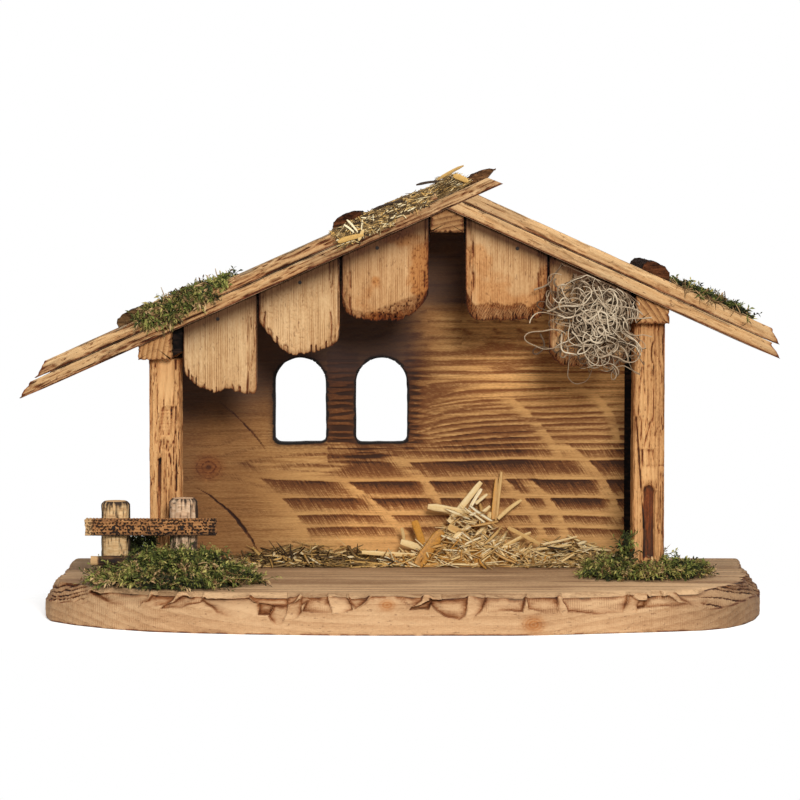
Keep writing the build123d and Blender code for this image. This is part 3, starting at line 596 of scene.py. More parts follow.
def base_board():
    """The hewn base board: carved rim, slightly wavy top and a ragged lower edge."""
    plan = base_plan()
    count = len(plan)
    way = np.roll(plan, -1, axis=0) - np.roll(plan, 1, axis=0)
    way = way / np.linalg.norm(way, axis=1)[:, None]
    normal = np.stack([way[:, 1], -way[:, 0]], axis=1)
    spine = np.stack([np.clip(plan[:, 0], BASE_LOW[0] + 90.0, BASE_HIGH[0] - 90.0),
                      np.full(count, BASE_LOW[1] + 115.0)], axis=1)
    along = np.arange(count) * BASE_STEP
    between = np.arange(1.2, BASE_TOP - 0.6, BASE_STEP)
    heights = np.concatenate([[0.0, 0.5], between, [BASE_TOP - 0.5, BASE_TOP]])
    z = np.broadcast_to(heights[:, None], (len(heights), count))
    x = np.broadcast_to(plan[:, 0], z.shape)
    y = np.broadcast_to(plan[:, 1], z.shape)
    depth, soot_and_shade, crease, painted_highlight, marks = base_carving(x, y, z, np.broadcast_to(along, z.shape))
    # Soot and painted shade: the cuts' painted shade and creases, and darker towards the right end.
    soot_and_shade = soot_and_shade + 0.2 * crease + 0.1 * smooth(x, 150.0, 225.0)
    # Darker towards both ends.
    shade_and_tone = 0.1 * smooth(x, 20.0, 110.0) + 0.4 * smooth(x, 140.0, 225.0) + 0.16 * smooth(-x, 185.0, 235.0)
    depth = depth + (1.0 - ridges(x, z, y, 30.0, 2.6, 52)) ** 6 * 0.3
    depth = depth + fractal(at(x / 5.0, z / 4.0, y / 5.0), 53) * 0.5
    ragged = fractal(at(along / 3.0), 61)
    depth = depth + np.exp(-z / 0.9) * (0.4 + ragged * 0.9)
    depth = depth + np.exp((z - BASE_TOP) / 0.5) * 0.6
    calm_ends = 1.0 - 0.85 * smooth(np.abs(plan[:, 0]), 194.0, 214.0)
    dip = np.clip(spread(depth[-4:], 3)[0] * 0.75 - 0.6, 0.0, 3.6) * calm_ends
    lowered = z - dip * smooth(z, BASE_TOP - 9.0, BASE_TOP)
    side = np.concatenate([plan[None] - normal[None] * depth[..., None], lowered[..., None]], axis=2)
    broken = smooth(noise(at(x / 6.0, z / 6.0, y / 6.0), 71), 0.25, 0.6)
    # Char and painted shade along the creases, and a dark ragged foot.
    char_and_shade = crease * (0.06 + 0.26 * broken) * (1.0 + smooth(np.abs(x), 199.0, 212.0))
    char_and_shade = char_and_shade + np.exp(-z / 0.8) * 0.7 * broken
    # Painted shadow under the overhanging top lip.
    painted_lip_shadow = np.exp((z - BASE_TOP) / 2.4) * smooth(depth, 1.2, 4.0) * (y < 0.0)
    soot_and_shade = soot_and_shade + 0.6 * painted_lip_shadow * broken
    red = np.zeros_like(x)
    for knot_x, knot_z, reach in BASE_KNOTS:
        away = np.hypot(x - knot_x, (z - knot_z) * 1.3)
        rings = 0.75 + 0.25 * np.sin(away * math.tau / 2.2)
        red = np.maximum(red, smooth(reach - away, 0.0, reach * 0.8) * rings * (y < 0.0))
    rim = side[-1, :, :2]
    shares = np.concatenate([[0.006, 0.015, 0.03, 0.05], np.linspace(0.08, 0.96, 30)])
    top = rim[None] + (spine - rim)[None] * shares[:, None, None]
    wave = streaks(top[..., 0], top[..., 1], 0.0, 60.0, 7.0, 81)
    level = BASE_TOP - 0.15 - 0.75 * (1.0 - wave) * smooth(shares, 0.0, 0.03)[:, None]
    level = level - dip * (1.0 - smooth(shares, 0.0, 0.06))[:, None]
    top = np.concatenate([top, level[..., None]], axis=2)
    under_shares = np.array([0.95, 0.5, 0.1, 0.01])
    under = plan[None] + (spine - plan)[None] * under_shares[:, None, None]
    blank = np.zeros((len(under_shares), count))
    under = np.concatenate([under, blank[..., None]], axis=2)
    rings = np.concatenate([under, side, top])
    values = {"soot_and_shade": soot_and_shade, "marks": marks, "red": red, "shade_and_tone": shade_and_tone, "tone": painted_highlight}
    values = {key: np.concatenate([blank, value, np.zeros_like(wave)]) for key, value in values.items()}
    values["char_and_shade"] = np.concatenate([blank, char_and_shade, (1.0 - wave) ** 3 * 0.25])
    values["up"] = np.concatenate([blank, np.zeros_like(char_and_shade), np.ones_like(wave)])
    faces = closed_faces(len(rings), count)
    make_piece("base_board", "hewn", rings.reshape(-1, 3), faces, BASE_WOOD, values)


base_board()


def groove(a, z, middle, half, top, bottom, depth, soft=0.8):
    """A sunk panel on a post's front: its depth at points a across and z up."""
    inside = smooth(half - np.abs(a - middle), -soft * 0.3, soft)
    return inside * smooth(z, bottom, bottom + soft * 3.0) * smooth(-z, -top, -top + soft * 2.0) * depth


def left_post_front(a, z):
    """Carving of the left post: a smooth hollow, a sawn pocket under it, torn flakes and a narrow slot."""
    rough = streaks(z, a, 0.0, 9.0, 1.8, 5)
    hollow = groove(a, z, 11.6, 5.6, 184.0, 138.0, 2.4, 1.6) * smooth(z, 134.0, 166.0)
    rungs = (z / 2.3) % 1.0
    pocket = groove(a, z, 11.0 + (z - 128.0) * 0.1, 4.2, 141.0, 119.5, 1.9, 1.4) * (0.75 + 0.4 * rungs)
    step = groove(a, z, 16.2, 2.0, 141.0, 108.0, 1.3, 0.8)
    flakes = groove(a, z, 11.0, 6.5, 119.0, 100.0, 1.5, 1.4) * smooth(rough, 0.42, 0.62)
    slot = groove(a, z, 6.6 + (z - 70.0) * 0.012, 1.5, 107.0, 62.0, 3.4, 1.2) * smooth(z, 50.0, 106.0)
    strip = groove(a, z, 18.0, 0.8, 172.0, 30.0, 1.6, 0.7) * smooth(noise(at(z / 8.0), 5), 0.3, 0.6)
    return hollow + pocket + step + flakes + slot + strip, smooth(hollow, 0.2, 1.2) * 0.75


def right_post_front(a, z):
    """Carving of the right post: a bent scar, a ledge, a rounded tongue and a deep slot under it."""
    bend = 9.4 + 1.8 * np.sin((z - 121.0) / 6.0)
    scar = groove(a, z, bend, 0.8, 131.0, 111.0, 1.5, 0.8)
    ledge = groove(a, z, 9.0, 5.4, 112.6, 101.0, 1.4, 0.9) * smooth(z, 101.0, 112.0)
    slot = groove(a, z, 10.8, 4.4, 90.0 - 0.25 * (a - 10.8) ** 2, 36.0, 3.0, 1.6)
    slot = slot * (0.75 + 0.45 * streaks(z, a, 0.0, 30.0, 1.6, 15))
    flake = groove(a, z, 2.4 + (131.0 - z) * 0.075, 0.6, 134.0, 58.0, 1.9, 0.7)
    notch = groove(a, z, 19.0, 2.6, 102.0, 100.4, 1.6, 0.5)
    curl = groove(a, z, 12.0 + 0.02 * (z - 175.0) ** 2, 0.6, 184.0, 168.0, 1.2, 0.6)
    tongue = groove(a, z, 11.0, 5.4, 101.0, 89.0, 1.0, 1.2)
    return scar + ledge + slot + flake + notch + curl, tongue * 0.7


def post(node, front, seed):
    """A front post: cracked all round, with the carving that front gives on its front."""
    low, high = node_box(node)
    width, deep = high[0] - low[0], high[1] - low[1]
    top = high[2]

    def carve(u, a, b, na, nb):
        depth = ridges(u, a, b, 26.0, 3.4, seed) * 0.6
        depth = depth + (1.0 - ridges(u, a, b, 36.0, 2.2, seed + 3)) ** 7 * 1.2
        depth = depth + (1.0 - ridges(u, a, b, 9.0, 1.3, seed + 7)) ** 6 * 0.5
        corner = np.exp(-np.minimum(a, width - a) / 0.9) * np.exp(-np.minimum(b, deep - b) / 0.9)
        depth = depth + corner * (0.5 + 1.3 * streaks(u, a, b, 14.0, 9.0, seed + 5))
        cut, clean = front(a, u)
        shape = np.where(nb < -0.5, cut, 0.0)
        clean = np.where(nb < -0.5, clean, 0.0)
        depth = depth * (1.0 - 0.7 * np.maximum(smooth(shape, 1.0, 2.4), clean)) + shape
        # Char and painted shade in hollows, and painted shade in the deep slots, darker lower down.
        char_and_shade = hollows(depth, 4, 0.85) + smooth(shape, 1.7, 3.2) * (0.5 + 0.45 * smooth(-u, -84.0, -44.0))
        # Soot and painted shade: in hollows, under the beam at the top, towards the foot and towards the
        # edges.
        soot_and_shade = hollows(depth, 14, 0.5) + np.exp(-(top - u) / 6.0) * 0.5
        soot_and_shade = soot_and_shade + np.exp(-(u - low[2]) / 10.0) * 0.7
        soot_and_shade = soot_and_shade + np.exp(-np.minimum(a, width - a) / 1.2) * 0.3
        char_and_shade = char_and_shade * (1.0 - 0.7 * clean)
        return depth, {"char_and_shade": char_and_shade, "soot_and_shade": soot_and_shade * (1.0 - clean), "tone": clean * 0.75}

    outline = box_outline((0.0, 0.0), (width, deep), 0.55, 0.8)
    rings, values = bar(np.array([low[0], low[1], 0.0]), (Z_AXIS, X_AXIS, Y_AXIS), outline,
                        straight(low[2], top), 0.8, carve)
    put_solid(node, "carved", rings, values, POST_WOOD)


post("left_front_post", left_post_front, 101)
post("right_front_post", right_post_front, 131)


def slope_axes(side):
    """Directions down a roof slope and out of it."""
    pitch = PITCH[side]
    along = np.array([side * math.cos(pitch), 0.0, -math.sin(pitch)])
    out = np.array([side * math.sin(pitch), 0.0, math.cos(pitch)])
    return along, out


# Thickness of the roof's lower and upper boards, and how far their low ends are cut back at the top.
LOWER_BOARD = 8.2
UPPER_BOARD = 8.6
EAVE_CUT = 10.5
ROOF_FRONT, ROOF_BACK = node_box("left_roof_lower_board")[0][1], node_box("left_roof_lower_board")[1][1]
# Side of each roof board, height over the roof's underside, thickness, start and end on its own underside,
# and how far its upper end is cut back at the top.
ROOF_BOARDS = {
    "left_roof_lower_board": (-1, 0.0, LOWER_BOARD, -40.0, 307.5, 8.0),
    "left_roof_upper_board": (-1, LOWER_BOARD, UPPER_BOARD, 3.0, 292.0, 0.0),
    "right_roof_lower_board": (1, 0.0, LOWER_BOARD, 0.0, 240.4, 7.3),
    "right_roof_upper_board": (1, LOWER_BOARD, UPPER_BOARD, 7.3, 236.0, 7.6),
}


def roof_board(node, seed):
    """A split roof board: deep cracks along its front on the left slope, a smoother front on the right."""
    side, lift, thick, start, end, start_cut = ROOF_BOARDS[node]
    along, out = slope_axes(side)
    depth_of_roof = ROOF_BACK - ROOF_FRONT
    rough = 0.85 if side < 0 else 0.25

    def span(a, b):
        jag = (streaks(a, b, 0.0, 14.0, 3.0, seed + 9) - 0.3) * 2.0
        return start + start_cut * b / thick + jag * 0.15, end - EAVE_CUT * b / thick - np.abs(jag) * 2.4

    def carve(u, a, b, na, nb):
        short = (1.0 - ridges(u, a, b, 20.0, 1.5, seed)) ** 7
        long = (1.0 - ridges(u, a, b, 90.0, 3.4, seed + 2)) ** 12
        chips = smooth(streaks(u, a, b, 15.0, 3.2, seed + 4), 0.5, 0.7)
        front = np.abs(na) > 0.5
        torn = (short + long * 1.6 + chips * 1.8) * rough + 0.4 * chips
        depth = np.where(front, torn, short * 0.5 + chips * 0.4)
        rim = np.exp(-np.minimum(b, thick - b) / 0.7) * np.exp(-np.minimum(a, depth_of_roof - a) / 0.8)
        depth = depth + rim * (0.3 + 1.2 * streaks(u, a, b, 9.0, 6.0, seed + 6))
        depth = depth + np.where(nb > 0.5, 0.4 * streaks(u, a, b, 40.0, 9.0, seed + 7), 0.0)
        depth = np.where(nb < -0.5, 0.1 * depth, depth)
        eave = np.exp((u - u[-1]) / 7.0) * np.where(np.abs(nb) > 0.5, 0.9, 0.0)
        depth = depth + eave * (1.0 if side < 0 else 0.4)
        # Char and painted shade: in hollows and cracks, a painted shadow along the front's lower edge, a
        # dark eave end.
        char_and_shade = hollows(depth, 4, 0.6) * 0.55 + np.where(front, (short * 0.16 + long * 0.24) * rough, 0.0)
        char_and_shade = char_and_shade + np.where(front, np.exp(-b / 0.8) * (0.6 + 0.4 * rough), 0.0)
        char_and_shade = char_and_shade + np.exp((u - u[-1]) / 1.6) * 0.5
        # Painted shade in hollows and towards the front's lower edge.
        soot_and_shade = hollows(depth, 14, 0.4)
        soot_and_shade = soot_and_shade + np.where(front, np.exp(-b / 2.2) * 0.5, 0.0)
        return depth, {"char_and_shade": char_and_shade, "soot_and_shade": soot_and_shade, "up": (np.abs(nb) > 0.5) * 1.0}

    outline = box_outline((0.0, 0.0), (depth_of_roof, thick), 2.0, 0.5, 0.4)
    origin = RIDGE + Y_AXIS * ROOF_FRONT + out * lift
    rings, values = bar(origin, (along, Y_AXIS, out), outline, span, 0.9, carve)
    put_solid(node, "split", rings, values, ROOF_WOOD[side])


for number, node in enumerate(ROOF_BOARDS):
    roof_board(node, ROOF_SEED + SEED_STEP * number)


# Gaps under the roof: over the beams and the wall, and over the hanging boards.
BEAM_GAP = 0.1
BOARD_GAP = 0.2


def roof_underside(x):
    """Height of the roof's underside."""
    x = np.asarray(x, dtype=float)
    fall = np.where(x < RIDGE[0], math.tan(PITCH[-1]), math.tan(PITCH[1]))
    return RIDGE[2] - np.abs(x - RIDGE[0]) * fall


# Foot of each hanging board: share of its width from the left, and height over its lowest point.
GABLE_FEET = {
    "gable_board_1": (
        (0.0, 14.4), (0.04, 11.2), (0.125, 7.9), (0.22, 4.6), (0.32, 2.6), (0.43, 1.0), (0.51, 1.6),
        (0.555, 3.4), (0.64, 3.8), (0.69, 2.0), (0.78, 1.0), (0.875, 0.0), (0.97, 0.4), (1.0, 2.2)),
    "gable_board_2": (
        (0.0, 21.3), (0.07, 17.0), (0.12, 13.6), (0.2, 8.5), (0.29, 3.9), (0.37, 0.9), (0.43, 0.0),
        (0.55, 0.4), (0.66, 1.4), (0.78, 3.4), (0.91, 6.2), (0.97, 9.2), (1.0, 13.0)),
    "gable_board_3": (
        (0.0, 11.2), (0.05, 5.9), (0.13, 2.6), (0.22, 1.0), (0.34, 0.4), (0.62, 0.0), (0.715, 1.0),
        (0.82, 4.6), (0.91, 9.2), (1.0, 16.4)),
    "gable_board_4": (
        (0.0, 10.5), (0.03, 5.2), (0.07, 2.0), (0.15, 0.3), (0.27, 0.0), (0.68, 0.2), (0.86, 1.0),
        (0.93, 3.3), (0.975, 7.9), (1.0, 13.8)),
    "gable_board_5": (
        (0.0, 9.0), (0.06, 4.5), (0.15, 1.0), (0.3, 0.0), (0.7, 0.3), (0.85, 1.2), (0.94, 4.5), (1.0, 9.0)),
}
# For each hanging board: widths of its left and right facet; height, depth and hatching of its foot's
# chamfer; how pitted its face is; how much warmer than the first it is; how far the painted shade under the
# roof reaches.
GABLE_CUTS = {
    "gable_board_1": (0.8, 7.2, 2.0, 0.5, 0.0, 0.4, 0.0, 12.0),
    "gable_board_2": (4.4, 6.4, 2.6, 0.8, 0.0, 0.7, 0.05, 11.0),
    "gable_board_3": (5.4, 2.4, 5.0, 1.4, 0.5, 1.2, 0.55, 10.5),
    "gable_board_4": (4.6, 5.4, 10.5, 2.6, 1.0, 0.7, 0.42, 6.0),
    "gable_board_5": (4.0, 4.0, 7.5, 2.4, 0.8, 0.7, 0.4, 8.0),
}
# The slanting cut across the third board's right foot: start and rise of its upper edge, and its slope.
GABLE_SLANT = {"gable_board_3": (-14.4, 205.6, 0.37, 0.45)}


def gable_board(node, seed):
    """A hanging board: sawn face, split side facets, and a torn or chamfered foot."""
    low, high = node_box(node)
    left_facet, right_facet, band, bite, hatched, pitted, warmth, shade_reach = GABLE_CUTS[node]
    width, deep = high[0] - low[0], high[1] - low[1]
    columns = np.linspace(low[0], high[0], int(width / 0.5))
    shares, rises = zip(*GABLE_FEET[node])
    torn = fractal(at(columns / 1.7), seed)
    foot = low[2] + np.interp((columns - low[0]) / width, shares, rises) + torn ** 2 * 2.0
    head = roof_underside(columns) - BOARD_GAP
    rows = int((high[2] - low[2]) / 0.6)
    under = np.linspace(0.0, 1.0, 12)[1:-1]
    over = np.linspace(1.0, 0.0, 6)[1:-1]
    rear = np.linspace(1.0, 0.0, 14)
    v = np.concatenate([np.linspace(0.0, 1.0, rows), np.ones_like(under), rear, np.zeros_like(over)])
    y = np.concatenate([np.zeros(rows), under, np.ones_like(rear), over]) * deep
    front = np.concatenate([np.ones(rows), 1.0 - under * 0.6, np.zeros_like(rear), np.zeros_like(over)])
    z = head[:, None] + (foot - head)[:, None] * v
    x = np.broadcast_to(columns[:, None], z.shape)
    left, right, up = x - low[0], high[0] - x, z - foot[:, None]
    below_roof = head[:, None] - z
    wander = 0.7 + 0.6 * streaks(z, 0.0, 0.0, 18.0, 1.0, seed + 13)
    into_left, into_right = left_facet * wander - left, right_facet * wander - right
    facet = np.maximum(into_left, into_right)
    seam = np.exp(-(facet / 0.6) ** 2) * smooth(noise(at(z / 9.0), seed + 15), 0.3, 0.55)
    on_facet = smooth(facet, -0.3, 0.8)
    depth = np.clip(into_left, 0.0, None) * 0.4 + np.clip(into_right, 0.0, None) * 0.34 + seam * 1.5
    cracks = (1.0 - ridges(z, x, 0.0, 26.0, 1.9, seed + 5)) ** 6
    depth = depth + cracks * (0.08 + 1.3 * on_facet)
    edge = band * (0.75 + 0.5 * fractal(at(x / 7.0, z / 9.0), seed + 2))
    on_foot = smooth(edge - up, 0.0, 1.2)
    depth = depth + np.clip(edge - up, 0.0, None) / band * bite * 1.4
    lines = (x * 0.9 - z * 0.45) * math.tau / 1.5 + 3.0 * noise(at(x / 3.0, z / 3.0), seed + 7)
    hatch = smooth(np.sin(lines), 0.1, 0.9)
    depth = depth + on_foot * hatch * hatched * 0.9
    slit = smooth(noise(at(x / 0.95), seed + 11), 0.58, 0.78)
    slit = slit * smooth(1.0 + 5.5 * noise(at(x / 3.1), seed + 12) - up, 0.0, 1.5)
    depth = depth + slit * 1.7
    pits = smooth(noise(at(x / 0.9, z / 1.1), seed + 3), 0.58, 0.85)
    patch = smooth(fractal(at(x / 16.0, z / 14.0), seed + 4), 0.42, 0.62)
    depth = depth + pits * pitted * np.clip(patch + np.exp(-up / 9.0), 0.0, 1.0) * 0.5
    slant = np.zeros_like(x)
    if node in GABLE_SLANT:
        start_x, start_z, rise, slope = GABLE_SLANT[node]
        slant = np.clip(start_z + (x - start_x) * rise - z, 0.0, None)
        slant = slant * smooth(x, start_x - 8.0, start_x + 5.0)
        depth = depth + slant * slope + smooth(slant, 0.0, 1.5) * pits * 1.2
    depth = depth + 0.4 * fractal(at(x / 9.0, z / 12.0), seed + 9)
    depth = depth * front
    shade = np.clip(front + 0.4, 0.0, 1.0)
    # Soot and painted shade: darker at the side edges and foot, on the facets, the slanting cut and the
    # pits.
    soot_and_shade = np.exp(-left / 0.5) * 0.6 + np.exp(-right / 0.5) * 0.4
    soot_and_shade = soot_and_shade + np.exp(-up / 0.8) * 0.5 + np.exp(-up / (band + 4.0)) * 0.14 + on_foot * hatched * 0.3
    soot_and_shade = (soot_and_shade + on_facet * 0.2 + smooth(slant, 0.0, 2.0) * 0.3 + pits * patch * pitted * 0.2) * shade
    # Painted shade under the roof, deepest near the ridge.
    shade_and_tone = np.exp(-np.clip(below_roof - 3.0, 0.0, None) / shade_reach)
    shade_and_tone = shade_and_tone + 0.5 * np.exp(-np.abs(x - RIDGE[0]) / 14.0) * np.exp(-below_roof / 16.0)
    red = (warmth * (0.5 + patch) + 0.15 * np.exp(-up / 9.0)) * shade
    # Char and painted shade in hollows, along the seam, the torn foot and the side edges.
    char_and_shade = hollows(depth.T, 4, 0.55).T + seam * 0.25 + np.exp(-up / 0.6) * 0.4 * torn[:, None]
    char_and_shade = char_and_shade + np.exp(-np.minimum(left, right) / 0.4) * 0.4 + slit * 0.12
    char_and_shade = char_and_shade * np.clip(front + 0.35, 0.0, 1.0)
    rings = np.stack([x, low[1] + np.clip(y + depth, 0.0, deep), z], axis=-1)
    values = {"char_and_shade": char_and_shade, "soot_and_shade": soot_and_shade, "shade_and_tone": shade_and_tone, "red": red}
    values = {key: value[::-1] for key, value in values.items()}
    put_solid(node, "sawn", rings[::-1], values, GABLE_WOOD)


for number, node in enumerate(GABLE_FEET):
    gable_board(node, GABLE_SEED + SEED_STEP * number)


# Purlins and ridge beam with end grain in front.

def beam(node, corners, seed, shade_and_tone=0.0):
    """A beam from front to back: worn edges and cracks, darker at its front end."""
    low, high = node_box(node)

    def carve(u, a, b, na, nb):
        depth = (1.0 - ridges(u, a, b, 60.0, 3.0, seed)) ** 6 * 0.9
        depth = depth + ridges(u, a, b, 40.0, 6.0, seed + 2) * 0.3
        near = np.minimum(u - low[1], 40.0)
        depth = depth + np.exp(-near / 1.2) * (0.3 + 0.8 * streaks(a, b, u, 4.0, 4.0, seed + 4))
        # Char and painted shade in the cracks, and a darker front end.
        char_and_shade = hollows(depth, 4, 0.8) + np.exp(-near / 2.0) * 0.15
        # An even darkening of the whole beam, where one is given.
        return np.where(nb > 0.5, 0.0, depth), {"char_and_shade": char_and_shade, "shade_and_tone": np.full_like(u, shade_and_tone)}

    outline = section(corners, (0.8,) * len(corners), 0.5)
    span = straight(low[1], high[1])
    rings, values = bar(np.zeros(3), (Y_AXIS, X_AXIS, Z_AXIS), outline, span, 1.4, carve)
    put_solid(node, "sawn", rings, values, BEAM_WOOD, cap_steps=BEAM_CAP_RINGS)


for node, seed in (("left_purlin", 501), ("right_purlin", 521)):
    low, high = node_box(node)
    heads = roof_underside([low[0], high[0]]) - BEAM_GAP
    beam(node, [(low[0], low[2]), (high[0], low[2]), (high[0], heads[1]), (low[0], heads[0])], seed)
heads = roof_underside([BEAM_LOW[0], BEAM_HIGH[0]]) - BEAM_GAP
beam("ridge_beam", [(BEAM_LOW[0], BEAM_LOW[2]), (BEAM_HIGH[0], BEAM_LOW[2]), (BEAM_HIGH[0], heads[1]),
                    (RIDGE[0], RIDGE[2] - BEAM_GAP), (BEAM_LOW[0], heads[0])], 541, 0.4)


# Back wall: a brushed board, scorched in bands along its grain and crossed by a curved saw's light swaths.

# Upper edge of each scorched band, its reach downwards and its darkness.
WALL_BANDS = (
    (49.2, 7.4, 0.8), (58.0, 7.6, 0.85), (69.6, 9.6, 0.9), (82.1, 11.0, 0.95), (95.7, 12.0, 0.95),
    (103.1, 6.4, 0.85), (108.2, 4.6, 0.9), (113.6, 4.6, 0.8), (118.6, 3.6, 0.78), (122.8, 3.2, 0.72),
    (126.6, 3.0, 0.7), (130.6, 3.2, 0.66), (135.4, 3.0, 0.62), (141.0, 2.6, 0.56), (147.5, 3.0, 0.56),
    (152.0, 2.4, 0.5), (158.5, 2.8, 0.56), (164.0, 2.4, 0.46), (170.5, 3.0, 0.54), (177.0, 2.6, 0.46),
    (185.0, 3.0, 0.4), (193.0, 2.6, 0.4),
)
# Middle and radius of each light swath, its lowest and highest point, and its width.
WALL_SWATHS = ((-34, 39, 69, 66, 110, 11.0), (-156, -104, 221, 44, 84, 9.0), (-171, -14, 123, 38, 86, 16.0),
               (-7, 31, 138, 98, 140, 9.0), (76, 38, 80, 55, 108, 12.0), (16, 11, 92, 38, 84, 9.0),
               (50, 26, 70, 38, 84, 10.0), (110, 109, 42, 108, 146, 8.0), (-70, 20, 128, 40, 74, 7.0))
# Dark saw scars at the left: middle, radius, lowest and highest point, and width.
WALL_SCARS = ((-237, -2, 179, 100, 142, 0.2), (-184, -6, 94, 30, 80, 0.6))
# Knots: middle, reach of the red halo, radius of the dark heart.
WALL_KNOTS = ((-132.4, 91.6, 15.0, 2.0),)
# Windows: their middles, half width, where the arch begins, sill, and radius of the lower corners.
WINDOWS = (-68.7, -12.8)
WINDOW_RADIUS = 17.5
WINDOW_SPRING = 150.1
WINDOW_SILL = 109.2
WINDOW_CORNER = 4.0
# The curved upper edge of the scorched part at the left: its lowest point and its bend.
SWOOSH_X = -74.0
SWOOSH_Z = 88.0
SWOOSH_BEND = 0.0068


def window_distance(x, z):
    """Distance from the rim of the nearest window, negative inside it."""
    nearest = np.full_like(x, FAR)
    for middle in WINDOWS:
        aside = x - middle
        arch = np.hypot(aside, np.maximum(z - WINDOW_SPRING, 0.0)) - WINDOW_RADIUS
        beside = np.maximum(np.abs(aside) - WINDOW_RADIUS + WINDOW_CORNER, 0.0)
        below = np.maximum(WINDOW_SILL + WINDOW_CORNER - z, 0.0)
        corner = np.hypot(beside, below) - WINDOW_CORNER
        nearest = np.minimum(nearest, np.maximum(arch, corner))
    return nearest


def wall_bands(x, z, level):
    """Darkness of the scorched bands, where the saw's light swaths have left them."""
    band = np.zeros_like(x)
    for edge, reach, strength in WALL_BANDS:
        down = (edge - level) / reach
        body = np.clip(1.0 - down, 0.0, 1.0) ** 0.7 * 0.66 + np.exp(-np.clip(down, 0.0, None) * 8.0) * 0.34
        band = np.maximum(band, strength * body * smooth(edge - level, -0.3, 0.5))
    under = SWOOSH_Z + SWOOSH_BEND * (x - SWOOSH_X) ** 2 - z
    region = np.maximum(smooth(x, -26.0, -14.0), smooth(under, -1.0, 1.0))
    region = region * smooth(x + 0.75 * z, -50.0, -20.0)
    patch = 0.6 + 0.4 * smooth(noise(at(x / 60.0, z / 26.0), 907), 0.3, 0.6)
    pale = smooth(under, -1.2, 0.6) * smooth(-under, -9.0, -1.0)
    pale = pale * smooth(-x, 16.0, 24.0) * smooth(x, -112.0, -80.0)
    ragged = (streaks(x, z, 0.0, 5.0, 1.4, 909) - 0.5) * 1.6
    for middle_x, middle_z, radius, lowest, highest, width in WALL_SWATHS:
        away = np.hypot(x - middle_x, z - middle_z) - radius + ragged
        line = smooth(away, -width, -width * 0.2) * smooth(-away, -0.6, 0.4) * (x > middle_x)
        line = line * smooth(z, lowest - 3.0, lowest + 3.0) * smooth(-z, -highest - 4.0, -highest + 3.0)
        pale = np.maximum(pale, line)
    faded = 1.0 - 0.25 * smooth(-x, 20.0, 60.0) * smooth(-z, -96.0, -86.0)
    dark = band * region * patch * faded * (1.0 - 0.86 * pale)
    return dark, np.maximum(pale, region * (1.0 - smooth(band, 0.0, 0.3)) * smooth(-z, -122.0, -96.0))


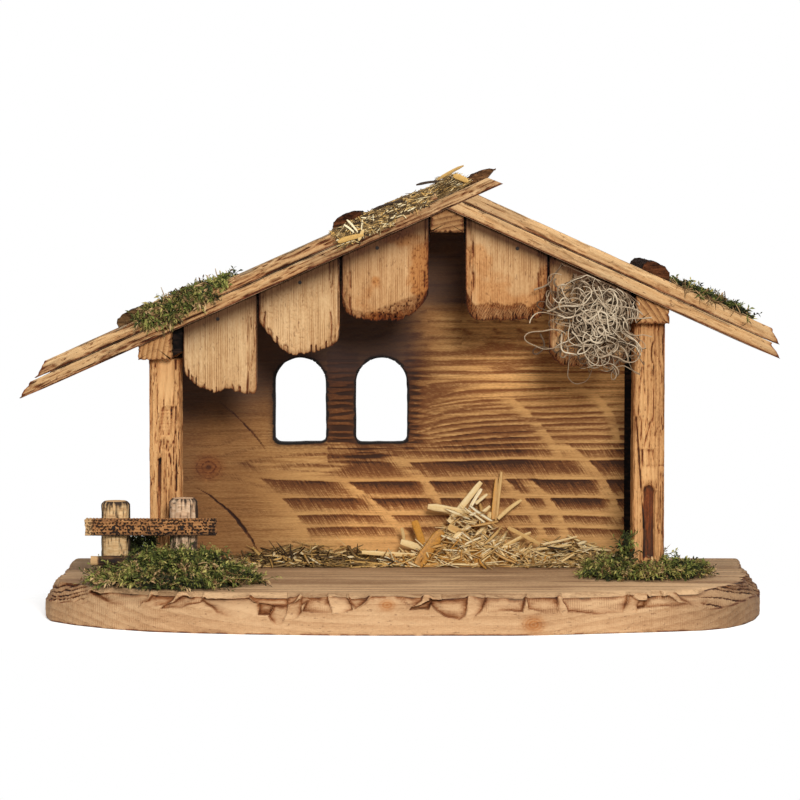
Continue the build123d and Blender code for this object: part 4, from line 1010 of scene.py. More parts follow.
def wall_marks(x, z):
    """Wall values: scorched bands, light swaths, burnt rims, soot with painted shade, painted light and
    knots.
    """
    flow = noise(at(x / 90.0, z / 45.0), 901) - 0.5
    fine = streaks(x, z, 0.0, 40.0, 2.2, 903) - 0.5
    fan = 13.0 * np.exp(-np.clip(x - 5.0, 0.0, None) / 34.0) * smooth(x, -8.0, 2.0)
    fan = fan * smooth(z, 102.0, 114.0) * smooth(-z, -156.0, -140.0)
    level = z + flow * (2.5 + 6.0 * smooth(-x, 20.0, 100.0)) + fine * 1.8 + fan
    red = np.zeros_like(x)
    heart = np.zeros_like(x)
    circles = np.zeros_like(x)
    for middle_x, middle_z, reach, core in WALL_KNOTS:
        right, over = x - middle_x, z - middle_z
        level = level + 1.3 * over * np.exp(-(right / reach / 1.6) ** 2 - (over / reach) ** 2)
        away = np.hypot(right, over * 1.15) + fine * 1.4
        red = np.maximum(red, smooth(reach - away, 0.0, reach * 0.7))
        heart = np.maximum(heart, 0.8 * smooth(core - away, -1.2, 1.0))
        rings = smooth(np.sin(away * math.tau / 3.8), 0.1, 1.0)
        circles = np.maximum(circles, rings * smooth(reach - away, 0.0, 10.0))
    dark, pale = wall_bands(x, z, level)
    dark = np.maximum(dark, 0.24 * circles)
    first_knot = WALL_KNOTS[0]
    right, over = x - first_knot[0], z - first_knot[1]
    check = np.exp(-((right - 0.29 * (over + 2.8)) / 0.8) ** 2)
    check = check * smooth(-over, 2.0, 3.5) * smooth(over, -12.4, -10.0)
    pale = np.maximum(pale, check * 2.2)
    for middle_x, middle_z, radius, lowest, highest, width in WALL_SCARS:
        away = np.abs(np.hypot(x - middle_x, z - middle_z) - radius + fine * 1.2)
        swell = np.exp(-((z - 0.55 * lowest - 0.45 * highest) / (0.24 * (highest - lowest))) ** 2)
        scar = smooth(width * (0.3 + 1.2 * swell) - away, -0.4, 0.4)
        scar = scar * smooth(z, lowest, lowest + 6.0) * smooth(-z, -highest, -highest + 9.0)
        dark = np.maximum(dark, scar * (x < -88.0) * (0.5 + noise(at(z / 5.0), 911)))
    calm = smooth(ridges(x, level, 0.0, 120.0, 5.0, 913), 0.0, 0.24)
    lines = (0.45 + 0.55 * smooth(z - 0.3 * x, 60.0, 110.0)) * (1.0 - 0.5 * smooth(-x, 50.0, 90.0))
    dark = np.maximum(dark, 0.28 * (1.0 - calm) * lines)
    outside = window_distance(x, z)
    streak = streaks(x, z, 0.0, 26.0, 2.0, 917)
    bars = smooth(np.sin((z + 5.0 * flow + 5.0 * (streak - 0.5)) * math.tau / 4.7), -0.3, 0.9)
    between = smooth(x, -51.0, -49.6) * smooth(z, 92.0, 97.0) * smooth(-z, -178.0, -166.0)
    below_sill = smooth(-x, -16.0, 34.0) * (0.5 + 0.55 * smooth(x, -42.0, -24.0))
    between = between * np.where(z > WINDOW_SILL, smooth(-x, 26.0, 31.0), below_sill)
    dark = np.maximum(dark, between * (0.3 + 0.7 * bars))
    beside = np.exp(-np.clip(outside, 0.0, None) / 9.0) * smooth(x, 0.0, 5.0) * smooth(z, 96.0, 108.0)
    dark = np.maximum(dark, beside * (0.4 + bars))
    halo = np.exp(-np.clip(outside, 0.0, None) / 4.5)
    rim = smooth(1.5 + 2.4 * (streak - 0.5) - outside, -1.0, 1.0)
    # Soot and painted shade: darker towards the top under the roof, in the gap beside the ridge and over the
    # left part.
    left_shade = smooth(z + 14.0 * flow, 108.0, 176.0)
    right_shade = smooth(z + 10.0 * flow, 192.0, 232.0)
    share = smooth(x, -8.0, 44.0)
    soot_and_shade = left_shade * (1.0 - share) + right_shade * share
    soot_and_shade = np.maximum(soot_and_shade, smooth(z, 186.0, 214.0) * smooth(-x, -58.0, -44.0))
    soot_and_shade = np.clip(soot_and_shade + 0.46 * smooth(-x, 45.0, 120.0) + 0.14 * smooth(-x, 125.0, 150.0), 0.0, 1.0)
    # Painted light: a brighter patch on the right under the boards, and one low in the middle.
    lift = smooth(x, 18.0, 64.0) * smooth(z, 120.0, 150.0) * smooth(-z, -214.0, -190.0)
    low_painted_light = 0.9 * smooth(x, -60.0, -30.0) * smooth(-x, -40.0, -4.0) * smooth(-z, -98.0, -74.0)
    lift = np.maximum(lift, low_painted_light)
    brush = smooth(-z - 4.0 * flow, -116.0, -100.0)
    return {"dark": dark, "pale": pale, "rim": rim, "halo": halo, "soot_and_shade": soot_and_shade, "red": red * 0.7,
            "heart": heart, "brush": brush, "lift": lift}


def wall_wood():
    """Brushed softwood with bands, rims, soot and painted shade, painted light and knots from the wall's
    values.
    """
    make = Shader("wall wood", 0.8)
    spot = make.turn(make.place, scale=(1.0 / MM,) * 3)
    grain = make.noise(spot, (0.02, 0.3, 0.7), 4.0, 0.62)
    fine = make.noise(spot, (0.06, 1.0, 3.4), 3.0, 0.6)
    pore = make.noise(spot, (0.42, 1.0, 1.7), 3.0, 0.65)
    stain = make.noise(spot, (0.012, 0.02, 0.035), 3.0)
    lean = make.turn(spot, (0.0, -math.radians(56.0), 0.0))
    stroke = make.math("SUBTRACT", make.noise(lean, (0.08, 0.3, 1.9), 3.0), 0.5)
    body = make.total(0.36, make.swing(grain, 1.25),
                      make.swing(fine, 0.8),
                      make.swing(pore, 0.9),
                      make.swing(stain, 0.5))
    colour = make.ramp(body, ((0.0, srgb(222, 174, 112)), (0.45, srgb(178, 129, 76)),
                              (1.0, srgb(100, 61, 32))))
    colour = make.mix(make.times(make.value("pale"), 0.44), colour, srgb(216, 166, 104))
    scorch = make.value("dark")
    brushed = make.total(0.3, make.times(make.value("brush"), 2.6))
    strokes = make.times(stroke, brushed, make.math("SUBTRACT", 1.2, scorch))
    rough = make.total(1.0, strokes, make.swing(pore, 1.2))
    dark = make.times(scorch, rough, 1.3)
    colour = make.mix(make.part(dark, 0.03, 0.42), colour, srgb(120, 72, 36))
    colour = make.mix(make.part(dark, 0.34, 0.86), colour, srgb(56, 30, 14))
    colour = make.mix(make.value("red"), colour, srgb(222, 172, 134), "MULTIPLY")
    colour = make.mix(make.value("heart"), colour, srgb(90, 48, 26))
    # Painted light from the lift values.
    colour = make.mix(make.value("lift"), colour, (0.3, 0.29, 0.27, 1.0), "DODGE")
    halo = make.times(make.value("halo"), make.part(pore, 0.2, 0.8, 0.7, 1.2))
    colour = make.mix(make.part(halo, 0.1, 0.9, 0.0, 0.9), colour, srgb(84, 50, 28))
    # Soot and painted shade, in a light and a dark step.
    soot_and_shade = make.times(make.value("soot_and_shade"), make.part(make.total(grain, stain), 0.6, 1.4, 1.15, 0.85))
    colour = make.mix(make.part(soot_and_shade, 0.0, 0.6), colour, srgb(192, 178, 166), "MULTIPLY")
    colour = make.mix(make.part(soot_and_shade, 0.3, 1.15, 0.0, 0.92), colour, srgb(64, 46, 40))
    colour = make.mix(make.part(make.value("rim"), 0.1, 0.8), colour, srgb(20, 13, 10))
    height = make.total(make.times(dark, -0.7), make.times(grain, 0.8), make.times(fine, 0.6),
                        make.times(pore, 0.6))
    return make.close(colour, height, 0.4 * MM)


def back_wall():
    """The wall's two faces on one grid, opened at the windows and joined round every edge."""
    step = 0.7
    shoulder = 169.6
    columns = np.linspace(WALL_LOW[0], WALL_HIGH[0], int((WALL_HIGH[0] - WALL_LOW[0]) / step))
    head = roof_underside(columns) - BEAM_GAP
    for node in ("left_purlin", "ridge_beam", "right_purlin"):
        low, high = node_box(node)
        under_beam = (columns > low[0] - step) & (columns < high[0] + step)
        head = np.where(under_beam, np.minimum(head, low[2] - BEAM_GAP), head)
    lower = np.linspace(WALL_LOW[2], shoulder, int((shoulder - WALL_LOW[2]) / step))
    upper = np.linspace(0.0, 1.0, 45)[1:]
    z = np.concatenate([np.broadcast_to(lower, (len(columns), len(lower))),
                        shoulder + (head - shoulder)[:, None] * upper], axis=1)
    x = np.broadcast_to(columns[:, None], z.shape).copy()
    wobble = (noise(at(x / 5.0, z / 5.0), 921) - 0.5) * 0.5
    outside = window_distance(x, z) + wobble
    tiny = 0.01
    slope_x = (window_distance(x + tiny, z) - window_distance(x - tiny, z)) / (2.0 * tiny)
    slope_z = (window_distance(x, z + tiny) - window_distance(x, z - tiny)) / (2.0 * tiny)
    near = np.abs(outside) < step * 0.62
    x = np.where(near, x - outside * slope_x, x)
    z = np.where(near, z - outside * slope_z, z)
    inside = (outside < 0.0) & ~near
    marks = wall_marks(x, z)
    relief = 0.45 * np.clip(marks["dark"], 0.0, 1.0) + 0.5 * marks["rim"] * smooth(6.0 - outside, 0.0, 4.0)
    relief = relief + 0.35 * streaks(x, z, 0.0, 50.0, 1.8, 923)
    front = at(x, WALL_LOW[1] + relief, z).reshape(-1, 3)
    rear = at(x, WALL_HIGH[1] - relief * 0.8, z).reshape(-1, 3)
    rows = z.shape[1]
    corner = (np.arange(z.shape[0] - 1)[:, None] * rows + np.arange(rows - 1)).ravel()
    faces = np.stack([corner, corner + rows, corner + rows + 1, corner + 1], axis=-1)
    faces = faces[~inside.ravel()[faces].any(axis=1)]
    many = len(front)
    begin, finish = faces.ravel(), np.roll(faces, -1, axis=1).ravel()
    rim = ~np.isin(begin * many + finish, finish * many + begin)
    begin, finish = begin[rim], finish[rim]
    sides = np.stack([finish, begin, begin + many, finish + many], axis=-1)
    faces = np.concatenate([faces, faces[:, ::-1] + many, sides]).tolist()
    values = {key: np.concatenate([value.ravel(), value.ravel()]) for key, value in marks.items()}
    points = np.concatenate([front, rear])
    make_piece("back_wall", "brushed", points, faces, wall_wood(), values)


back_wall()


def paint(node, material):
    """Gives a CAD node that stays in view its material."""
    mesh = frame["nodes"][node].data
    mesh.materials.clear()
    mesh.materials.append(material)


def soften(node, width):
    """Breaks the sharp edges of a CAD node that stays in view."""
    edge = frame["nodes"][node].modifiers.new("worn edges", "BEVEL")
    edge.width = width * MM
    edge.segments = 2
    edge.limit_method = "ANGLE"


def charred_and_shaded_wood():
    """Charred wood, cracked into scales, near black also as painted shade."""
    make = Shader("charred and shaded wood", 0.9, 0.15)
    place = make.turn(make.place, ALONG_Z, scale=(90.0, 240.0, 240.0))
    scale = make.plates(place)
    fibre = make.noise(make.place, (40.0, 700.0, 700.0), 3.0, turned=ALONG_Z)
    body = make.times(make.part(scale, 0.0, 0.25), make.part(fibre, 0.2, 0.8, 0.4, 1.0))
    colour = make.ramp(body, ((0.0, srgb(10, 7, 6)), (0.6, srgb(30, 21, 17)), (1.0, srgb(58, 42, 34))))
    return make.close(colour, body, 0.6 * MM)


def steel():
    make = Shader("dull steel", 0.7, 0.2)
    make.surface.inputs["Metallic"].default_value = 0.1
    rust = make.noise(make.place, (900.0,) * 3, 4.0)
    colour = make.ramp(rust, ((0.35, srgb(34, 26, 22)), (0.55, srgb(24, 18, 15)), (0.7, srgb(44, 27, 18))))
    return make.close(colour, rust, 0.1 * MM)


CHARRED_AND_SHADED = charred_and_shaded_wood()
# Rear posts and gable battens stand in deep shade; their near-black char paints that shade as well.
for node in ("left_rear_post", "right_rear_post"):
    paint(node, CHARRED_AND_SHADED)
    soften(node, 0.8)
for node in ("left_gable_batten", "right_gable_batten"):
    paint(node, CHARRED_AND_SHADED)
    soften(node, 0.6)
for node in ("post_dowels", "wall_dowels", "fence_dowels"):
    paint(node, DOWEL_WOOD)
STEEL = steel()
for node in ("gable_board_nails", "roof_nails", "roof_batten_nails", "fence_nails", "base_screws"):
    paint(node, STEEL)


# Bark-faced roof battens.

def bark(name, dark, mid, light, core_light, core_dark, split_at):
    """Bark on the outside and sawn wood on the ends, told apart by the cap value."""
    make = Shader(name, 0.95, 0.04)
    place = make.turn(make.place, ALONG_Y)
    plates = make.plates(make.turn(place, scale=(110.0, 260.0, 260.0)))
    crust = make.noise(place, (160.0, 420.0, 420.0), 5.0, 0.65)
    body = make.total(make.times(make.part(plates, 0.0, 0.3), 0.5), make.times(crust, 0.7))
    outside = make.ramp(body, ((0.25, dark), (0.6, mid), (0.95, light)))
    rings = make.noise(make.place, (90.0, 90.0, 560.0), 3.0, turned=(0.0, 0.5, 0.0))
    inside = make.ramp(rings, ((0.3, core_light), (0.7, core_dark)))
    core = make.part(make.total(make.value("cap"), make.times(crust, 0.35)), split_at, split_at + 0.1)
    colour = make.mix(core, outside, inside)
    # Char and painted shade in the bark's hollows.
    colour = make.mix(make.part(make.value("char_and_shade"), 0.1, 0.8), colour, CHAR_AND_SHADE)
    return make.close(colour, make.total(body, make.times(rings, 0.3)), 0.9 * MM, 0.8)


DARK_BARK = bark("dark bark", srgb(18, 12, 10), srgb(36, 23, 18), srgb(62, 42, 31), srgb(112, 66, 40),
                 srgb(40, 22, 15), 1.08)
BROWN_BARK = bark("brown bark", srgb(34, 22, 16), srgb(82, 54, 36), srgb(118, 84, 56), srgb(128, 90, 58),
                  srgb(50, 32, 22), 1.1)
PALE_BARK = bark("pale bark", srgb(32, 24, 16), srgb(80, 62, 43), srgb(118, 92, 63), srgb(122, 92, 60),
                 srgb(50, 33, 21), 1.08)

BATTEN_FRONT, BATTEN_BACK = node_box("left_low_roof_batten")[0][1], node_box("left_low_roof_batten")[1][1]
ROOF_THICK = LOWER_BOARD + UPPER_BOARD
# How far a batten's underside lies below the boards' top, so that no gap shows.
BATTEN_SINK = 0.5
# Outlines of a batten in shares of half its width and of its thickness.
HALF_ROUND = ((-1.0, 0.0), (1.0, 0.0), (1.0, 0.42), (0.86, 0.74), (0.55, 0.95), (0.1, 1.0), (-0.45, 0.92),
              (-0.85, 0.66), (-1.0, 0.3))
POINTED = ((-0.5, 0.0), (0.85, 0.0), (1.0, 0.3), (0.7, 0.7), (0.1, 0.98), (-0.4, 1.0), (-0.75, 0.85),
           (-1.0, 0.5))
# Side of the roof, place down the slope, height over the underside, width, thickness, outline, material.
ROOF_BATTENS = {
    "left_low_roof_batten": (-1, 217.0, ROOF_THICK, 24.0, 8.6, HALF_ROUND, PALE_BARK),
    "left_middle_roof_batten": (-1, 62.0, ROOF_THICK, 24.0, 8.8, HALF_ROUND, DARK_BARK),
    "right_roof_batten": (1, 141.8, ROOF_THICK, 20.6, 9.4, HALF_ROUND, DARK_BARK),
    "ridge_roof_batten": (-1, -26.0, LOWER_BOARD, 28.0, 7.0, POINTED, BROWN_BARK),
}


def roof_batten(node, seed):
    """A split batten: flat below, rounded and crusted with bark above."""
    side, place, lift, width, thick, profile, material = ROOF_BATTENS[node]
    along, out = slope_axes(side)
    half = width / 2

    def carve(u, a, b, na, nb):
        crust = fractal(at(u / 7.0, a / 4.0, b / 4.0), seed, 4)
        top = smooth(nb, 0.2, 0.8)
        depth = np.where(nb < -0.5, 0.0, 0.2 + (0.5 + 1.1 * top) * (1.0 - crust))
        near = np.minimum(u - BATTEN_FRONT, BATTEN_BACK - u)
        depth = depth + np.exp(-near / 1.5) * 1.2 * crust
        # Painted shade in the crust's hollows.
        return depth, {"char_and_shade": hollows(depth, 3, 0.6)}

    outline = section([(a * half, b * thick) for a, b in profile], (0.7,) * len(profile), 0.1)
    origin = RIDGE + along * place + out * (lift - BATTEN_SINK)

    def span(a, b):
        jag = (streaks(a, b, 0.0, 3.0, 3.0, seed + 5)) * 2.6
        return BATTEN_FRONT + jag, BATTEN_BACK - jag

    rings, values = bar(origin, (Y_AXIS, -along * side, out), outline, span, 1.1, carve)
    put_solid(node, "bark", rings, values, material)


for number, node in enumerate(ROOF_BATTENS):
    roof_batten(node, BATTEN_SEED + SEED_STEP * number)


# Fence.

def peeled_branch(name, light, mid, dark, patch_from):
    """A branch without most of its bark: fibre lines and darker patches."""
    make = Shader(name, 0.85)
    line = make.noise(make.place, (22.0, 420.0, 420.0), 4.0, 0.6, ALONG_Z)
    patch = make.noise(make.place, (60.0, 130.0, 130.0), 5.0, 0.62, ALONG_Z, (2.0, 5.0, 1.0))
    fine = make.noise(make.place, (160.0, 1500.0, 1500.0), 2.0, turned=ALONG_Z)
    colour = make.ramp(make.total(make.times(line, 0.75), make.times(fine, 0.25)),
                       ((0.3, light), (0.55, mid), (0.78, dark)))
    colour = make.mix(make.part(patch, patch_from, patch_from + 0.08), colour, srgb(70, 58, 48))
    colour = make.mix(make.part(make.value("char_and_shade"), 0.1, 0.9), colour, srgb(48, 34, 24))
    colour = make.mix(make.times(make.value("cap"), 0.8), colour, mid)
    return make.close(colour, make.total(line, make.times(fine, 0.5)), 0.7 * MM)


PEELED = peeled_branch("peeled branch", srgb(242, 212, 162), srgb(214, 172, 120), srgb(108, 72, 44), 0.72)
BIRCH = peeled_branch("birch branch", srgb(236, 208, 174), srgb(206, 168, 132), srgb(116, 80, 56), 0.58)
RAIL_LOW, RAIL_HIGH = node_box("fence_top_rail")


def fence_post(node, material, seed):
    """A round post with cracks, strips of bark, a worn head and a flat where the rail lies."""
    low, high = node_box(node)
    radius = (high[0] - low[0]) / 2
    middle = (low + high) / 2
    angle = np.linspace(0.0, math.tau, 72, endpoint=False)
    shaft = np.linspace(low[2], high[2] - 3.0, 60)
    rise = np.concatenate([shaft, high[2] - np.linspace(2.8, 0.0, 8)])[:, None]
    turn = np.broadcast_to(angle, (len(rise), len(angle)))
    wide = streaks(rise, np.cos(turn) * radius, np.sin(turn) * radius, 24.0, 4.0, seed)
    crack = (1.0 - ridges(rise, np.cos(turn) * radius, np.sin(turn) * radius, 22.0, 2.2, seed + 3)) ** 8
    crust = smooth(np.abs(np.cos(turn)) + 0.3 * (wide - 0.5), 0.9, 1.04) * smooth(wide, 0.2, 0.5)
    top = np.clip((rise - (high[2] - 2.8)) / 2.8, 0.0, 1.0)
    reach = radius - 0.1 - (1.0 - wide) * 1.2 - crack * 1.0 - top ** 2 * 2.0 * (0.5 + wide)
    x = middle[0] + np.cos(turn) * reach
    y = middle[1] + np.sin(turn) * reach
    behind_rail = (rise > RAIL_LOW[2] - 0.3) & (rise < RAIL_HIGH[2] + 0.3)
    y = np.where(behind_rail, np.maximum(y, RAIL_HIGH[1] - 0.3), y)
    rings = at(x, y, np.broadcast_to(rise, x.shape))
    char_and_shade = crack * 0.8 + crust * 0.9 + top * (0.1 + 0.5 * (1.0 - wide))
    # Darker at the left and right sides: strips of bark and painted shade.
    char_and_shade = char_and_shade + smooth(np.abs(np.cos(turn)), 0.72, 1.0) * 0.35
    char_and_shade = char_and_shade + np.exp((rise - high[2]) / 3.0) * 0.5 * smooth(wide, 0.4, 0.7)
    put_solid(node, "branch", rings, {"char_and_shade": char_and_shade}, material, BRANCH_EDGE)


def rail_wood():
    """Scorched and pitted wood with pale ends."""
    make = Shader("scorched rail", 0.85)
    pits = make.value("char_and_shade")
    crust = make.noise(make.place, (180.0, 420.0, 420.0), 4.0, 0.6)
    fine = make.noise(make.place, (60.0, 1400.0, 1400.0), 2.0)
    body = make.total(make.times(crust, 0.7), make.times(fine, 0.3))
    colour = make.ramp(body, ((0.3, srgb(202, 148, 92)), (0.5, srgb(158, 108, 64)),
                              (0.72, srgb(94, 60, 36))))
    colour = make.mix(make.part(pits, 0.08, 0.8), colour, srgb(38, 23, 15))
    ends = make.mix(crust, srgb(214, 178, 128), srgb(168, 124, 78))
    colour = make.mix(make.value("pale"), colour, ends)
    return make.close(colour, make.math("SUBTRACT", body, pits), 0.6 * MM)


RAIL_WOOD = rail_wood()


def fence_top_rail():
    """The flat top rail: rows of pits, a scorched lower edge and torn ends."""
    low, high = RAIL_LOW, RAIL_HIGH
    size = high - low

    def carve(u, a, b, na, nb):
        rows = np.sin(b * math.tau / 2.1 + 1.5 * noise(at(u / 6.0, a), 715))
        pit = smooth(noise(at(u / 0.75, a / 0.8, b / 0.9), 711) + 0.16 * rows, 0.5, 0.72)
        row = np.maximum(0.0, np.sin(u * 2.9)) * np.exp(-np.abs(size[2] - b) / 1.1)
        wave = streaks(u, a, b, 20.0, 6.0, 713)
        depth = pit * 0.8 + row * 0.7 + (1.0 - wave) * 0.9
        depth = depth + np.exp(-b / 1.4) * 0.7
        char_and_shade = pit * 0.7 + row * 0.6 + np.exp(-b / 2.0) * 0.9 + smooth(u, 76.0, 87.0) * 0.5
        return depth, {"char_and_shade": char_and_shade, "pale": smooth(-u, -6.5, -3.5) * (1.0 - 0.6 * pit)}

    def span(a, b):
        jag = streaks(a, b, 0.0, 3.0, 3.0, 717)
        return jag * 1.8, size[0] - jag * 2.6

    outline = box_outline((0.0, 0.0), (size[1], size[2]), 0.6, 0.3, 0.6)
    rings, values = bar(low, (X_AXIS, Y_AXIS, Z_AXIS), outline, span, 0.4, carve)
    put_solid("fence_top_rail", "scorched", rings, values, RAIL_WOOD)


def fence_low_rail():
    """The round low rail with a knobbly surface and a pale left end."""
    low, high = node_box("fence_low_rail")
    radius = (high[2] - low[2]) / 2
    middle = (low + high) / 2
    angle = np.linspace(0.0, math.tau, 36, endpoint=False)
    along = np.linspace(low[0], high[0], 110)[:, None]
    turn = np.broadcast_to(angle, (len(along), len(angle)))
    knob = streaks(along, np.cos(turn) * radius, np.sin(turn) * radius, 9.0, 2.2, 731)
    reach = radius - 0.05 - (1.0 - knob) * 0.9
    x = np.broadcast_to(along, turn.shape)
    rings = np.stack([x, middle[1] + np.cos(turn) * reach, middle[2] + np.sin(turn) * reach], axis=-1)
    pale = smooth(low[0] + 5.0 - x, 0.0, 1.0)
    values = {"char_and_shade": (0.4 + (1.0 - knob) * 0.6) * (1.0 - pale), "pale": pale}
    put_solid("fence_low_rail", "branch", rings, values, RAIL_WOOD, BRANCH_EDGE)


fence_post("outer_fence_post", PEELED, 701)
fence_post("inner_fence_post", BIRCH, 705)
fence_top_rail()
fence_low_rail()


# Fibres: moss, hay, straw and lichen.

def tubes(paths, wide, thick, sides, rng, facing=None):
    """Points and faces of tubes along paths, with half a width and half a thickness at each point."""
    many, steps = paths.shape[:2]
    way = unit(np.gradient(paths, axis=1))
    side = rng.normal(size=(many, 1, 3))
    first = unit(np.cross(way, side if facing is None else facing + side * 0.2))
    second = np.cross(way, first)
    angle = np.arange(sides) * math.tau / sides
    wide = np.broadcast_to(wide, (many, steps))[..., None, None]
    thick = np.broadcast_to(thick, (many, steps))[..., None, None]
    around = (first[:, :, None] * np.cos(angle)[:, None] * wide
              + second[:, :, None] * np.sin(angle)[:, None] * thick)
    points = (paths[:, :, None] + around).reshape(-1, 3)
    base = (np.arange(many)[:, None, None] * steps + np.arange(steps - 1)[None, :, None]) * sides
    here = np.arange(sides)[None, None, :]
    after = (here + 1) % sides
    faces = np.stack([base + here, base + after, base + sides + after, base + sides + here], axis=-1)
    return points, faces.reshape(-1, 4)


def unit(vectors):
    return vectors / (np.linalg.norm(vectors, axis=-1, keepdims=True) + 1e-9)


class Heap:
    """Collects many fibres, each with its tone, into one piece."""

    def __init__(self):
        self.points, self.faces, self.tones, self.count = [], [], [], 0

    def put(self, points, faces, tones):
        self.points.append(points)
        self.faces.append(np.asarray(faces) + self.count)
        self.tones.append(np.broadcast_to(tones, (len(points),)))
        self.count += len(points)

    def piece(self, node, look, material, slot):
        faces = np.concatenate(self.faces).tolist()
        make_piece(node, look, np.concatenate(self.points), faces, material,
                   {"tone": np.concatenate(self.tones)}, sharp=0.0)


def fibre_material(name, stops, roughness, sheen=0.25):
    """Colour by the tone of each fibre, broken by fine noise. Each stop is a tone and a screen colour."""
    make = Shader(name, roughness, sheen)
    speck = make.noise(make.place, (700.0,) * 3)
    tone = make.total(make.value("tone"), make.swing(speck, 0.3))
    colour = make.ramp(tone, [(place, srgb(*screen)) for place, *screen in stops])
    return make.close(colour, speck, 0.15 * MM, 0.4)


MOSS = fibre_material("moss", ((0.0, 20, 17, 10), (0.18, 44, 48, 24), (0.36, 78, 86, 38),
                               (0.52, 126, 132, 62), (0.66, 184, 170, 98), (0.76, 72, 50, 31),
                               (0.88, 132, 100, 64), (1.0, 196, 164, 118)), 0.85)
HAY = fibre_material("hay", ((0.0, 46, 32, 20), (0.3, 106, 82, 50), (0.52, 160, 130, 84),
                             (0.68, 210, 166, 92), (0.82, 220, 190, 132), (1.0, 246, 230, 188)), 0.7)
STRAW = fibre_material("straw", ((0.0, 110, 76, 40), (0.22, 214, 152, 62), (0.36, 196, 150, 86),
                                 (0.6, 224, 188, 124), (0.8, 236, 208, 152),
                                 (1.0, 248, 234, 198)), 0.55, 0.35)
LICHEN = fibre_material("lichen", ((0.0, 40, 30, 22), (0.4, 106, 84, 64), (0.7, 160, 138, 112),
                                   (1.0, 212, 194, 166)), 0.85)


def stems(feet, ways, bend, lengths, share):
    """Points at some shares of the way along bent stems."""
    along = share[:, None]
    return feet[:, None] + lengths[:, None, None] * (ways[:, None] * along + bend[:, None] * along ** 2)


def sprigs(heap, feet, ways, lengths, tones, rng, leaves=9, leaf=3.4):
    """Mossy sprigs: a bent stem with narrow leaves all round it."""
    many, steps = len(feet), 6
    share = np.linspace(0.0, 1.0, steps)
    bend = rng.normal(size=(many, 3)) * 0.35 - np.array([0.0, 0.0, 0.2])
    paths = stems(feet, ways, bend, lengths, share)
    points, faces = tubes(paths, 0.4 - 0.25 * share, 0.4 - 0.25 * share, 3, rng)
    heap.put(points, faces, np.repeat(tones * 0.75, steps * 3))
    place = np.linspace(0.15, 1.0, leaves)
    seat = stems(feet, ways, bend, lengths, place)
    stem = unit(ways[:, None] + 2.0 * bend[:, None] * place[:, None])
    aside = unit(np.cross(stem, rng.normal(size=(many, leaves, 3))))
    way = unit(stem * 0.9 + aside)
    long = leaf * (0.5 + 0.8 * rng.random((many, leaves, 1)))
    flat = unit(np.cross(way, rng.normal(size=(many, leaves, 3)))) * long * 0.17
    curl = np.array([0.0, 0.0, -0.16]) * long
    half_way = seat + way * long * 0.5
    quad = np.stack([seat, half_way + flat, seat + way * long + curl, half_way - flat], axis=2)
    tone = tones[:, None] + 0.14 * place + 0.12 * (rng.random((many, leaves)) - 0.5)
    heap.put(quad.reshape(-1, 3), np.arange(many * leaves * 4).reshape(-1, 4), np.repeat(tone.ravel(), 4))


def moss_tones(lump, bright, rng):
    """Tones of sprigs: green in clumps, with some dry brown ones."""
    tones = np.clip(0.37 + bright + 0.6 * (rng.random(len(lump)) - 0.5) + 1.1 * (lump - 0.5), 0.04, 0.62)
    return np.where(rng.random(len(lump)) < 0.16, 0.72 + 0.2 * rng.random(len(lump)), tones)


def scatter(heap, count, middle, axes, half, height, length, wide, tone, rng, lift=0.25, steps=4, sides=4,
            flat=0.3, bent=0.07, slope=0.0, aside=0.6):
    """Loose bent fibres strewn over a low mound, with ranges for their length, width and tone."""
    along, across, out = axes
    p = (rng.random(count) * 2.0 - 1.0) * half[0]
    q = (rng.random(count) * 2.0 - 1.0) * half[1]
    rise = height * rng.random(count) * np.clip(1.15 - (p / half[0]) ** 2, 0.15, 1.0)
    rise = rise * (1.0 - slope + slope * (q / half[1] + 1.0) / 2.0)
    centre = middle + p[:, None] * along + q[:, None] * across + rise[:, None] * out
    turn = rng.random(count) * math.tau
    way = np.cos(turn)[:, None] * along + np.sin(turn)[:, None] * across * aside
    way = unit(way + out * rng.normal(size=(count, 1)) * lift)
    size = length[0] + (length[1] - length[0]) * rng.random(count) ** 1.6
    share = np.linspace(-0.5, 0.5, steps)
    bend = rng.normal(size=(count, 3)) * bent
    paths = stems(centre, way, bend, size, share)
    ground = np.einsum("mki,i->mk", paths - middle, out)
    paths = paths + np.clip(0.25 - ground, 0.0, None)[..., None] * out
    half_wide = (wide[0] + (wide[1] - wide[0]) * rng.random((count, 1)) ** 1.5) / 2
    half_wide = half_wide * np.interp(share, (-0.5, -0.3, 0.2, 0.5), (0.6, 1.0, 1.0, 0.3))
    points, faces = tubes(paths, half_wide, half_wide * flat, sides, rng, out - 0.6 * Y_AXIS)
    tones = tone[0] + (tone[1] - tone[0]) * rng.random(count)
    heap.put(points, faces, np.repeat(tones, steps * sides))


def mound_core(heap, middle, axes, half, height, seed, tone):
    """A low lumpy bed under the fibres, so that the ground doesn't show between them; its dark tone paints
    the shade there.
    """
    along, across, out = axes
    ring = np.linspace(1.0, 0.06, 18)[:, None]
    angle = np.linspace(0.0, math.tau, 64, endpoint=False)
    faces = ring_faces(len(ring), len(angle))
    p = ring * np.cos(angle) * half[0]
    q = ring * np.sin(angle) * half[1]
    lump = fractal(at(p / 7.0, q / 7.0), seed)
    rise = height * (1.0 - ring ** 2) ** 0.7 * (0.35 + 0.75 * lump)
    points = middle + p[..., None] * along + q[..., None] * across + rise[..., None] * out
    heap.put(points.reshape(-1, 3), faces, tone + 0.2 * (lump.ravel() - 0.5))


# Dry stalks among the moss.
DRY_STALKS = {"wide": (0.5, 1.1), "tone": (0.76, 1.0), "steps": 6, "flat": 0.9, "bent": 0.4}


